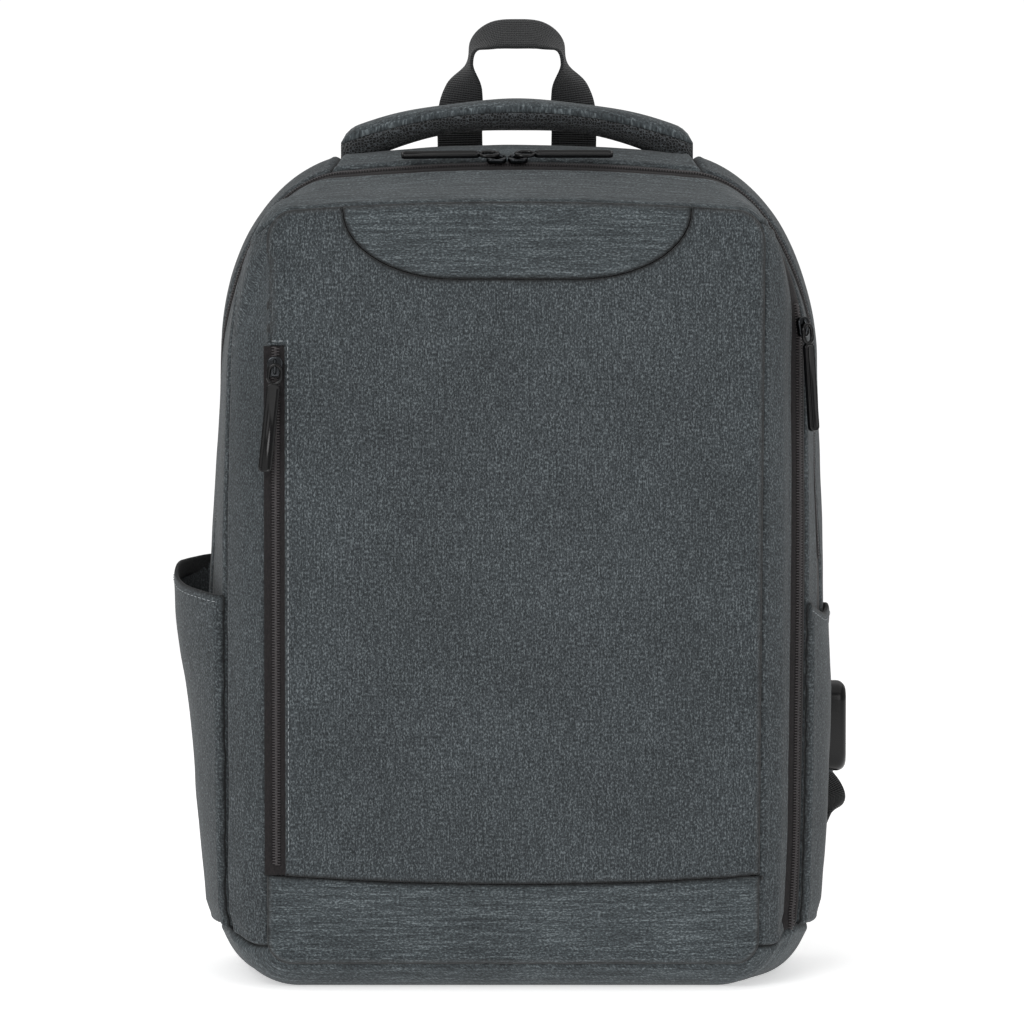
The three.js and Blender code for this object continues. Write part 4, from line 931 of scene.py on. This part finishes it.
ZIP_MIDDLE = -FACE["left"] + ZIP_TAPE_WIDTH / 2 - 1.2
heights = np.linspace(ZIP_LOW + 1, ZIP_HIGH - 1, 120)
coil("left_zip_teeth", on_face(ZIP_MIDDLE + 0 * heights, heights, -0.6), (0, -1, 0), "left_zip_coil")
for zip_name, start, end, deep in (
    ("main", MAIN_COIL_LEFT, MAIN_COIL_RIGHT, MAIN_ZIP_DEEP),
    ("right", RIGHT_ZIP_TOP, BASE_RIGHT, (SEAM_DEEP + SIDE_ZIP_DEEP) / 2),
):
    places = np.linspace(start, end, 240)
    out = np.array([wall_turn(a, deep)[2] for a in places])
    coil(f"{zip_name}_zip_teeth", wall_point(places, deep, -0.4), out, f"{zip_name}_zip_coil")


# Hard pieces
def round_outline(length, width, corner, steps=8):
    x, y = length / 2, width / 2
    r = min(corner, x, y)
    points = []
    for cx, cy, turn in ((x - r, y - r, 0), (-x + r, y - r, 1), (-x + r, -y + r, 2), (x - r, -y + r, 3)):
        for k in range(steps + 1):
            angle = QUARTER * (turn + k / steps)
            points.append((cx + r * math.cos(angle), cy + r * math.sin(angle)))
    return np.array(points)


def plate_mesh(outline, profile):
    """Rings of an outline at steps of inset and height, closed at both ends, as points and faces."""
    ahead, behind = np.roll(outline, -1, axis=0), np.roll(outline, 1, axis=0)
    way = unit(ahead - behind)
    inward = np.stack([-way[:, 1], way[:, 0]], axis=1)
    count = len(outline)
    points = [
        np.column_stack([outline + inward * inset, np.full(count, height)]) for inset, height in profile
    ]
    return np.concatenate(points), tube_faces(count, len(profile))


def edge_profile(thick, soft, steps=4):
    rows = []
    for k in range(steps + 1):
        angle = QUARTER * k / steps
        rows.append((soft * (1 - math.sin(angle)), soft * (1 - math.cos(angle))))
    return rows + [(inset, thick - height) for inset, height in reversed(rows)]


def tube_mesh(path, radius, sides=10, closed=False):
    """A round wire along a path, as points and faces."""
    path = np.asarray(path, float)
    if closed:
        tangent = unit(np.roll(path, -1, axis=0) - np.roll(path, 1, axis=0))
    else:
        tangent = unit(np.gradient(path, axis=0))
    side = unit(np.cross(tangent[0], (0.3, 0.2, 1.0)))
    points = []
    for p, t in zip(path, tangent):
        side = unit(side - t * (side @ t))
        other = np.cross(t, side)
        for k in range(sides):
            turn = 2 * math.pi * k / sides
            points.append(p + radius * (math.cos(turn) * side + math.sin(turn) * other))
    if closed:
        faces = grid_faces(sides, len(path), wrap=True)
        last = (len(path) - 1) * sides
        ring = np.array(points[last:last + sides])
        shift = int(np.argmin(norm(ring - points[0], axis=1)))
        for k in range(sides):
            faces.append((last + (k + shift) % sides, last + (k + 1 + shift) % sides, (k + 1) % sides, k))
    else:
        faces = tube_faces(sides, len(path))
    return np.array(points), faces


def joined(parts):
    """Several closed meshes as one."""
    points, faces = [], []
    for part_points, part_faces in parts:
        start = sum(len(p) for p in points)
        points.append(np.asarray(part_points))
        faces += [tuple(start + k for k in f) for f in part_faces]
    return np.concatenate(points), faces


def placed(mesh, turn, place):
    """A mesh's points turned by three axes and moved to a place."""
    points, faces = mesh
    axes = np.array(turn)
    return points @ axes + np.asarray(place), faces


def hard_piece(name, mesh, slot, *nodes):
    return dress(make_mesh(name, *mesh), slot, *nodes)


def slider_mesh():
    length, width, thick = SLIDER
    outline = round_outline(length, width, width * 0.42)
    waist = 1 - 0.16 * np.exp(-((outline[:, 0] + 1.5) / 2.2) ** 2)
    outline = outline * np.column_stack([np.ones(len(outline)), waist])
    plate = plate_mesh(outline, edge_profile(thick, 0.7))
    bridge = [(x, 0, thick + 1.5 * math.cos(x / 3.4 * QUARTER) - 0.2) for x in np.linspace(-3.4, 3.4, 11)]
    return joined([plate, tube_mesh(bridge, 0.8, 8)])


def puller_mesh(length, width):
    ring = round_outline(RING_LENGTH - RING_WIRE, RING_WIDTH - RING_WIRE, RING_WIDTH / 2)
    loop = np.column_stack([ring, np.full(len(ring), PULLER_THICK / 2)])
    wire = tube_mesh(loop, RING_WIRE / 2, 10, closed=True)
    bar_length = length - RING_LENGTH + RING_WIRE
    outline = round_outline(bar_length, width, width * 0.36) - (length / 2, 0)
    profile = edge_profile(PULLER_THICK, 0.55, 3)
    rim = min(1.3, width * 0.24)
    profile += [(rim, PULLER_THICK), (rim + 0.25, PULLER_THICK - 0.7)]
    return joined([wire, plate_mesh(outline, profile)])


def zip_end(name, suffix, seat, turn, hanging, puller):
    """A slider on its seat, and the puller that hangs from it."""
    place = seat + turn[2] * (SLIDER[2] + GAP) - turn[0] * RING_LENGTH / 3
    hard_piece(f"{name}_slider{suffix}_metal", placed(slider_mesh(), turn, seat), "dark_metal",
               f"{name}_slider{suffix}")
    hard_piece(f"{name}_puller{suffix}_moulded", placed(puller_mesh(*puller), hanging, place),
               "gloss_plastic", f"{name}_puller{suffix}")


def wall_zip_end(name, suffix, along, deep, way, puller):
    tangent, side, normal = wall_turn(along, deep)
    turn = (tangent * way, side * way, normal)
    seat = wall_point(along, deep) + normal * (GAP + COIL_THICK - 0.6)
    zip_end(name, suffix, seat, turn, turn, puller)


TOP_LENGTH = norm(wall_point(2, MAIN_ZIP_DEEP) - wall_point(3, MAIN_ZIP_DEEP))
HALF_SLIDER = (SLIDER[0] / 2 + GAP) / TOP_LENGTH
for suffix, way in (("_left", 1), ("_right", -1)):
    wall_zip_end("main_zip", suffix, SLIDERS_ALONG - way * HALF_SLIDER, MAIN_ZIP_DEEP, way, MAIN_PULLER)
wall_zip_end("right_zip", "", RIGHT_ZIP_TOP + 0.1, (SEAM_DEEP + SIDE_ZIP_DEEP) / 2, -1, SIDE_PULLER)


def face_zip_end():
    z = ZIP_HIGH - SLIDER[0]
    seat = on_face(ZIP_MIDDLE, z - SLIDER[0], COIL_THICK + GAP)
    seat[2] = z
    turn = np.array(((0, 0, 1), (-1, 0, 0), (0, -1, 0)))
    tilt_x, tilt_y = math.cos(LEFT_PULLER_TILT), math.sin(LEFT_PULLER_TILT)
    hanging = ((tilt_y, 0, tilt_x), (-tilt_x, 0, tilt_y), (0, -1, 0))
    zip_end("left_zip", "", seat, turn, hanging, SIDE_PULLER)


face_zip_end()


# Bands along a path
def catmull(points, t):
    """A place on the centripetal curve through points, at a share t of its rows."""
    points = np.asarray(points, float)
    last = len(points) - 1
    at = t * last
    k = min(int(at), last - 1)
    w = at - k
    p1, p2 = points[k], points[k + 1]
    p0 = points[k - 1] if k > 0 else 2 * p1 - p2
    p3 = points[k + 2] if k + 2 <= last else 2 * p2 - p1
    d0, d1, d2 = (max(norm(b - a) ** 0.5, 1e-4) for a, b in ((p0, p1), (p1, p2), (p2, p3)))
    t1 = (p1 - p0) / d0 - (p2 - p0) / (d0 + d1) + (p2 - p1) / d1
    t2 = (p2 - p1) / d1 - (p3 - p1) / (d1 + d2) + (p3 - p2) / d2
    t1, t2 = t1 * d1, t2 * d1
    c2 = -3 * p1 + 3 * p2 - 2 * t1 - t2
    c3 = 2 * p1 - 2 * p2 + t1 + t2
    return p1 + t1 * w + c2 * w * w + c3 * w ** 3


def band_frames(path, steps):
    """Centre, way across and normal at even steps along a band's path of places and ways across."""
    at = [row[0] for row in path]
    across = [row[1] for row in path]
    frames = []
    for t in np.linspace(0, 1, steps + 1):
        before, after = catmull(at, max(0, t - 1e-3)), catmull(at, min(1, t + 1e-3))
        tangent = unit(after - before)
        side = catmull(across, t)
        side = unit(side - tangent * (side @ tangent))
        frames.append((catmull(at, t), side, np.cross(tangent, side)))
    return frames


def band(path, width, thick, steps, profile):
    """A closed band along a path. The profile is a closed row of shares of half its width and thickness."""
    frames = band_frames(path, steps)
    centres = np.array([f[0] for f in frames])
    run = arc(centres, 0)
    points, uvs = [], []
    for (centre, side, normal), length in zip(frames, run):
        for wide, deep in profile:
            points.append(centre + side * wide * width / 2 + normal * deep * thick / 2)
            uvs.append((wide * width / 2, length))
    return (np.array(points), tube_faces(len(profile), len(frames))), uvs


def webbing_profile(columns=10):
    top = [(x, 1.0) for x in np.linspace(-0.97, 0.97, columns)]
    low = [(x, -1.0) for x in np.linspace(0.97, -0.97, columns)]
    return top + [(1.0, 0.5), (1.0, -0.5)] + low + [(-1.0, -0.5), (-1.0, 0.5)]


def pad_profile(sides=28, power=0.55):
    rows = []
    for k in range(sides):
        turn = 2 * math.pi * k / sides
        c, s = math.cos(turn), math.sin(turn)
        rows.append((math.copysign(abs(c) ** power, c), math.copysign(abs(s) ** power, s)))
    return rows


def band_piece(name, made, slot, *nodes):
    mesh, uvs = made
    return dress(make_mesh(name, *mesh, uvs), slot, *nodes)


def hang_loop():
    half = LOOP_SPAN / 2
    foot = wall_point(TOP_MIDDLE, LOOP_DEEP, GAP)[2] - TOP_ARCH
    y = y_at(LOOP_DEEP)
    lean = math.radians(LOOP_LEAN)
    sides = {
        sign: [(np.array((sign * half * o, y, foot + LOOP_RISE * u)), np.array((sign * a, b, c), float))
               for o, u, a, b, c in LOOP_ROWS] for sign in (-1, 1)
    }
    top = [(np.array((0, y, foot + LOOP_RISE)), np.array((0, math.cos(lean), math.sin(lean))))]
    path = sides[-1] + top + sides[1][::-1]
    band_piece("hang_loop_webbing", band(path, WEBBING_WIDTH, WEBBING_THICK, 90, webbing_profile()),
               "webbing", "hang_loop")


hang_loop()


# The grab handle
HANDLE_TAPER, HANDLE_ROUND_FROM, HANDLE_END_WIDTH = 0.18, 0.9, 0.55
HANDLE_END_THIN, HANDLE_END_POWER = 0.4, 6
HANDLE_FOOT, HANDLE_FOOT_POWER = 0.8, 5
HANDLE_SOFT_POWER, HANDLE_SWELL, HANDLE_SWELLS = 0.7, 0.05, 9


def handle_half(upper, steps=72, around=14):
    rise = wall_point(TOP_MIDDLE, HANDLE_DEEP)[2]
    points = []
    for u in np.linspace(-1, 1, steps + 1):
        near_end = max(0.0, (abs(u) - HANDLE_ROUND_FROM) / 0.1)
        round_end = math.sqrt(max(0.04, 1 - near_end ** 2))
        half = HANDLE_WIDTH / 2 * (1 - HANDLE_TAPER * u * u)
        half *= HANDLE_END_WIDTH + (1 - HANDLE_END_WIDTH) * round_end
        thick = HANDLE_THICK / 2 * (round_end if upper else 1 - HANDLE_END_THIN * u ** HANDLE_END_POWER)
        lift = (HANDLE_RISE - HANDLE_THICK / 2) * (1 - u * u)
        centre = np.array((u * HANDLE_SPAN / 2, y_at(HANDLE_DEEP), rise + lift))
        down = 0 if upper else HANDLE_THICK * HANDLE_FOOT * abs(u) ** HANDLE_FOOT_POWER
        sign = 1 if upper else -1
        for turn in np.linspace(0, math.pi, around + 1):
            high = math.sin(turn) ** HANDLE_SOFT_POWER
            swell = 1 + HANDLE_SWELL * math.sin(turn) * math.cos(u * HANDLE_SWELLS)
            z = sign * (GAP / 2 + (thick * swell + down) * high)
            points.append(centre + (0, half * math.cos(turn), z))
    return (np.array(points), tube_faces(around + 1, steps + 1)), [(p[0], p[1]) for p in points]


HANDLE_HALVES = (("handle_cover", True, "cross_melange_cloth"), ("handle_pad", False, "spacer_mesh"))
for node_name, upper, slot in HANDLE_HALVES:
    mesh, uvs = handle_half(upper)
    piece = face_out(make_mesh(node_name + "_soft", *mesh, uvs), (0, y_at(HANDLE_DEEP), 400))
    dress(piece, slot, node_name)


# Side pockets
HEM_ROLL = 0.6
# Painted shade of the hem: its strength and reach at the top fold, then its strength over the inner side.
HEM_SHADE, HEM_SHADE_REACH, HEM_INSIDE_SHADE = 0.85, 1.1, 0.9
POCKET_DIP, POCKET_SEED, POCKET_CLOTH = 1.8, 2.9, 1.6


def pocket_point(side, up, v, extra):
    foot, near, far, rim_near, rim_far, bulge = POCKETS[side]
    near = near + deep_of(GAP)
    deep = near + (far - near) * v
    rim = rim_near + (rim_far - rim_near) * v
    along = foot + (rim - foot) * up
    swell = smooth_rows(POCKET_UP, POCKET_SWELL[side], up).reshape(np.shape(up)) * np.sin(np.pi * v) ** 0.7
    return wall_point(along, deep, GAP + bulge * swell + extra)


def pocket(side):
    height = norm(pocket_point(side, np.array([1.0]), np.array([0.5]), 0)
                            - pocket_point(side, np.array([0.0]), np.array([0.5]), 0))
    hem_share = BINDING_HEIGHT / height
    ups, vs = spread(0, 1 - hem_share * 0.5, height), spread(0, 1, 90, 2.2)
    u, v = np.meshgrid(ups, vs)
    base = pocket_point(side, u, v, CLOTH)
    run, cross = arc(base, 1), arc(base, 0)
    dip, painted_shade = np.zeros((2, *base.shape[:2]))
    for k, distance in enumerate((run, cross, cross[-1:] - cross)):
        dip = dip + seam_dip(distance, base, POCKET_DIP, POCKET_SEED * k)
        # Painted shade along the pocket's seams.
        painted_shade = np.maximum(painted_shade, seam_shade(distance, POCKET_DIP))
    soft = waves(base, POCKET_WAVES)
    points = pocket_point(side, u, v, CLOTH - dip + soft * np.sin(np.pi * v))
    piece = cloth_piece(f"side_pocket_{side}_cloth", points, grid_faces(len(ups), len(vs)),
                        np.stack([cross, run], axis=-1), POCKET_CLOTH, "melange_cloth", f"side_pocket_{side}",
                        painted_shade=painted_shade)
    wide, long = float(cross[-1].max()), float(run[:, -1].max())

    start = 1 - hem_share * (1 - GAP / BINDING_HEIGHT)
    u, v = np.meshgrid(np.linspace(start, 1, 9), np.linspace(0, 1, 90))
    roll = np.sin((u - start) / (1 - start) * math.pi) ** 0.5
    fold = HEM_ROLL * roll + 0.25 * ripple(pocket_point(side, u, v, 0), 9, 3.1)
    outer = pocket_point(side, u, v, CLOTH - 0.35 + fold)
    inner = pocket_point(side, u, v, 0.5 - 0.4 * roll)
    grid = np.concatenate([outer, inner[:, ::-1]], axis=1)
    faces = tube_faces(grid.shape[1], len(v))
    uvs = np.stack([v[:, :1] * wide + 0 * grid[..., 0], arc(grid, 1)], axis=-1)
    # Painted shade on the hem: darkest at its top fold, and dark over all of its inner side.
    rim_shade = HEM_SHADE * bell((1 - u) * height, HEM_SHADE_REACH)
    painted_shade = np.concatenate([rim_shade, np.full(u.shape, HEM_INSIDE_SHADE)], axis=1)
    rim = make_mesh(f"pocket_hem_{side}_cloth", grid.reshape(-1, 3), faces, uvs, painted_shade)
    dress(face_out(rim), "melange_cloth", f"pocket_binding_{side}")
    along_rim = np.linspace(0.02, 0.98, 60)
    line = pocket_point(side, np.full(60, 1 - hem_share * 0.42), along_rim, CLOTH + HEM_ROLL - 0.2)
    out = wall_turn(0.6 if side == "left" else 4.4, 0.5)[2]
    stitches(f"pocket_stitches_{side}", [(line, out)])


for side in POCKETS:
    pocket(side)


# The charging port
def on_right_wall(mesh, x, z):
    return placed(mesh, ((0, 0, -1), (0, 1, 0), (1, 0, 0)), (x, y_at(PORT_DEEP), z))


def port():
    wall = wall_point(PORT_ALONG, PORT_DEEP)[0] - CLOTH
    outline = round_outline(PORT_HEIGHT, PORT_DEPTH, PORT_DEPTH * 0.4, 10)
    body = plate_mesh(outline, edge_profile(PORT_THICK + CLOTH, PORT_THICK / 4, 8))
    housing = on_right_wall(body, wall, PORT_BASE + PORT_HEIGHT / 2)
    hard_piece("port_housing_moulded", housing, "gloss_plastic", "port_housing")
    x = wall + CLOTH + PORT_THICK / 2
    sleeve_outline = round_outline(SOCKET[0], SOCKET[1], SOCKET[1] * 0.4, 6)
    sleeve = plate_mesh(sleeve_outline, [(0, 0), (0, 2.4), (0.9, 2.4), (0.9, 0.4), (2.0, 0.4)])
    turn = ((0, 1, 0), (1, 0, 0), (0, 0, -1))
    hard_piece("port_socket_metal", placed(sleeve, turn, (x, y_at(PORT_DEEP), PORT_BASE + 1.9)), "dark_metal",
               "port_socket")


port()


# The back
def back_patch():
    rows = ring_rows(0, STRETCHES, 1, 201, 1)[:-1]
    flat, faces, distance, _ = patch(rows, 3.2)
    roll = BACK_THICK * (1 - np.exp(-((distance / 4.2) ** 1.3)))
    base = np.stack([flat[:, 0], y_at(1) + GAP + 0.2 + roll * 0.97, flat[:, 1]], axis=-1)
    base[:, 1] += 0.4 * ripple(base, 60, 3.3) * np.clip(distance / 20, 0, 1) - 0.4
    piece = cloth_piece("back_panel_cloth", base, faces, flat, 2.0, "melange_cloth", "back_panel")


back_patch()


def back_pad(side, sign):
    """A mesh pad with a soft edge and two sewn channels across it."""
    outline = round_outline(PAD[0], PAD[1], PAD_CORNER, 10)
    middle = np.array((sign * (PAD[0] + PAD_SPACING) / 2, PAD_BASE + PAD[1] / 2))
    flat, faces, distance, _ = patch([(a + middle[0], b + middle[1], 1) for a, b in outline], 3.0)
    high = PAD[2] * (1 - np.exp(-((distance / 7) ** 1.5)))
    for share in (-0.17, 0.17):
        high *= 1 - 0.55 * np.exp(-(((flat[:, 1] - middle[1] - share * PAD[1]) / 4) ** 2))
    base = np.stack([flat[:, 0], BACK_Y + GAP + 0.4 + high * 0.97, flat[:, 1]], axis=-1)
    pad = cloth_piece(f"back_pad_{side}_mesh", base, faces, flat, 1.2, "spacer_mesh", f"back_pad_{side}")


def strap_path(sign):
    return [
        (np.array((sign * out * HALF_WIDTH, BACK_Y + GAP + STRAP_THICK / 2 + bow * STRAP_BOW,
                   STRAP_TOP - drop * STRAP_DROP)), np.array((sign, 0.0, 0.0)))
        for drop, out, bow in STRAP_ROWS
    ]


def strap_end(sign):
    at = [row[0] for row in strap_path(sign)]
    down = unit(catmull(at, 1) - catmull(at, 1 - 1e-3))
    side = unit(np.array((1.0, 0, 0)) - down * down[0])
    return catmull(at, 1), down, side


def lock_frame(sign):
    at, down, side = strap_end(sign)
    normal = np.cross(down, side)
    place = at + down * (LOCK[1] / 2 + 2 * GAP) - normal * LOCK[2] / 2
    return (down, side, normal), place


def lock_mesh():
    """A plate with two slots, as three bars between two cheeks."""
    width, height, thick = LOCK
    slot_width = WEBBING_WIDTH + 2 * SLOT_ROOM
    slot_height = WEBBING_THICK + 2 * SLOT_ROOM
    cheek = (width - slot_width) / 2
    parts = []
    for sign in (-1, 1):
        outline = round_outline(height, cheek, 2.2) + (0, sign * (width - cheek) / 2)
        parts.append(plate_mesh(outline, edge_profile(thick, 0.9)))
    inner = SLOT_SPACING - slot_height
    outer = (height - SLOT_SPACING - slot_height) / 2
    for length, x in ((inner, 0), (outer, height / 2 - outer / 2), (outer, -height / 2 + outer / 2)):
        outline = round_outline(length, slot_width + 1.5, 0.8) + (x, 0)
        parts.append(plate_mesh(outline, edge_profile(thick * 0.86, 0.8)))
    return joined(parts)


def tab_along(sign):
    return TAB_LIFT if sign < 0 else 5 - TAB_LIFT


def tab_corner(sign):
    return wall_point(tab_along(sign), (TAB_NEAR + TAB_FAR) / 2, GAP + CLOTH)


def strap_webbing(side, sign):
    turn, place = lock_frame(sign)
    down, across, normal = turn
    start = place + down * (LOCK[1] / 2 + GAP) + normal * LOCK[2] / 2
    tab = tab_corner(sign)
    outward = wall_turn(tab_along(sign), (TAB_NEAR + TAB_FAR) / 2)[2]
    backward = -(np.array((0, 1.0, 0)) - outward * outward[1])
    end = tab + outward * (2 * GAP + WEBBING_THICK / 2)
    middle = start + (end - start) * 0.6
    middle[0] = end[0] + sign * WEBBING_BOW[sign]
    middle[2] = end[2] + WEBBING_RISE
    face = WEBBING_FACE[sign]
    path = [
        (start, across * sign),
        (start + down * WEBBING_WIDTH / 2, across * sign),
        (start + (middle - start) * 0.5 + (0, WEBBING_WIDTH / 2, 0), np.array((sign, face - 1, 0))),
        (middle, np.array((sign * face, face / 2 - 1, 0))),
        (end + (sign * WEBBING_BOW[sign] / 2, 0, ANCHOR_HEIGHT / 2), np.array((sign * face / 2, -1.0, 0))),
        (end + (0, 0, 2), backward),
    ]
    band_piece(f"strap_webbing_{side}_band", band(path, WEBBING_WIDTH, WEBBING_THICK, 60, webbing_profile()),
               "webbing", f"strap_webbing_{side}")


def strap_tab(side, sign):
    length = norm(wall_point(1, TAB_NEAR) - wall_point(0, TAB_NEAR))
    half = ANCHOR_HEIGHT / 2 / length
    us, vs = np.linspace(-1, 1, 15), np.linspace(0, 1, 9)
    u, v = np.meshgrid(us, vs)
    edge = np.minimum(np.minimum(1 - np.abs(u), 1) * 15, np.minimum(v, 1 - v) * 17)
    out = GAP + CLOTH * (1 - np.exp(-((edge / 1.2) ** 1.2)))
    points = wall_point(tab_along(sign) + u * half, TAB_NEAR + (TAB_FAR - TAB_NEAR) * v, out)
    cloth_piece(f"strap_tab_{side}_cloth", points, grid_faces(len(us), len(vs)),
                np.stack([v * 17, u * 15], axis=-1), 1.0, "melange_cloth", f"strap_tab_{side}")


for side, sign in (("left", -1), ("right", 1)):
    back_pad(side, sign)
    padded_band = band(strap_path(sign), STRAP_WIDTH, STRAP_THICK, 90, pad_profile())
    strap = band_piece(f"shoulder_strap_{side}_soft", padded_band, "melange_cloth", f"shoulder_strap_{side}")
    turn, place = lock_frame(sign)
    hard_piece(f"ladder_lock_{side}_moulded", placed(lock_mesh(), turn, place), "gloss_plastic",
               f"ladder_lock_{side}")
    strap_webbing(side, sign)
    strap_tab(side, sign)


# Stitches beside the left zip
heights = np.linspace(ZIP_LOW + 8, ZIP_HIGH + 2, 90)
down_path = on_face(np.full(90, ZIP_EDGE + 1.7), heights, 0.1)
across_path = on_face(np.linspace(ZIP_EDGE + 1.7, -FACE["left"] + 3.5, 12), ZIP_HIGH + 2.4, 0.0)
stitches("left_zip_stitches", [(down_path, (0, -1, 0)), (across_path, (0, -1, 0))])


# The room
ROOM_LIGHT = 0.36
FLOOR_GLOW = 0.5
CAMERA_DISTANCE, CAMERA_RISE = 2.0, math.radians(2)
CAMERA_LENS, CAMERA_SENSOR = 140.625, 36
CAMERA_AIM = Vector((-0.0025, 0, 0.2305))
# Lights: name, place, aim, size and power
LIGHTS = (
    ("ceiling", (0, 0.2, 2.6), (0, 0.2, 0), 5, 45),
    ("key", (-0.9, -2.4, 1.5), (0, 0, 0.25), 1.2, 28),
    ("fill", (1.2, -2.4, 0.9), (0, 0, 0.2), 1.4, 9),
)


def floor():
    def colour(tree):
        mottle = streaks(tree, solid_place(tree, 300, 300, 300))
        return ramp(tree, mottle, (0.3, "#F6F6F6"), (0.7, "#FBFBFB"))

    points = [(-4000, -6000, 0), (4000, -6000, 0), (4000, 3000, 0), (-4000, 3000, 0)]
    piece = make_mesh("floor", points, [(0, 1, 2, 3)])
    piece.data.materials.append(finish_look(
        "matt_white_floor", colour, None, 0, 0, Roughness=0.9, Emission_Strength=FLOOR_GLOW,
        Emission_Color=(1, 1, 1, 1)))


def area_light(name, place, aim, size, power):
    data = bpy.data.lights.new(name, "AREA")
    data.shape, data.size, data.energy = "SQUARE", size, power
    light = bpy.data.objects.new(name, data)
    bpy.context.scene.collection.objects.link(light)
    light.location = place
    light.rotation_euler = (Vector(aim) - Vector(place)).to_track_quat("-Z", "Y").to_euler()


def camera():
    data = bpy.data.cameras.new("camera")
    data.lens, data.sensor_width = CAMERA_LENS, CAMERA_SENSOR
    made = bpy.data.objects.new("camera", data)
    bpy.context.scene.collection.objects.link(made)
    back = Vector((0, -math.cos(CAMERA_RISE), math.sin(CAMERA_RISE)))
    made.location = CAMERA_AIM + back * CAMERA_DISTANCE
    made.rotation_euler = (CAMERA_AIM - made.location).to_track_quat("-Z", "Y").to_euler()
    bpy.context.scene.camera = made


def room():
    """A white backdrop, with dimmer light from all round and softboxes above and in front."""
    world = bpy.data.worlds.new("white_room")
    world.use_nodes = True
    tree = world.node_tree
    seen = node(tree, "ShaderNodeLightPath").outputs["Is Camera Ray"]
    strength = node(tree, "ShaderNodeMapRange", {"Value": seen, "To Min": ROOM_LIGHT, "To Max": 1.05})
    tree.links.new(strength.outputs[0], tree.nodes["Background"].inputs["Strength"])
    tree.nodes["Background"].inputs["Color"].default_value = (1, 1, 1, 1)
    bpy.context.scene.world = world
    bpy.context.scene.view_settings.view_transform = "Standard"
    for light in LIGHTS:
        area_light(*light)


floor(), camera(), room()
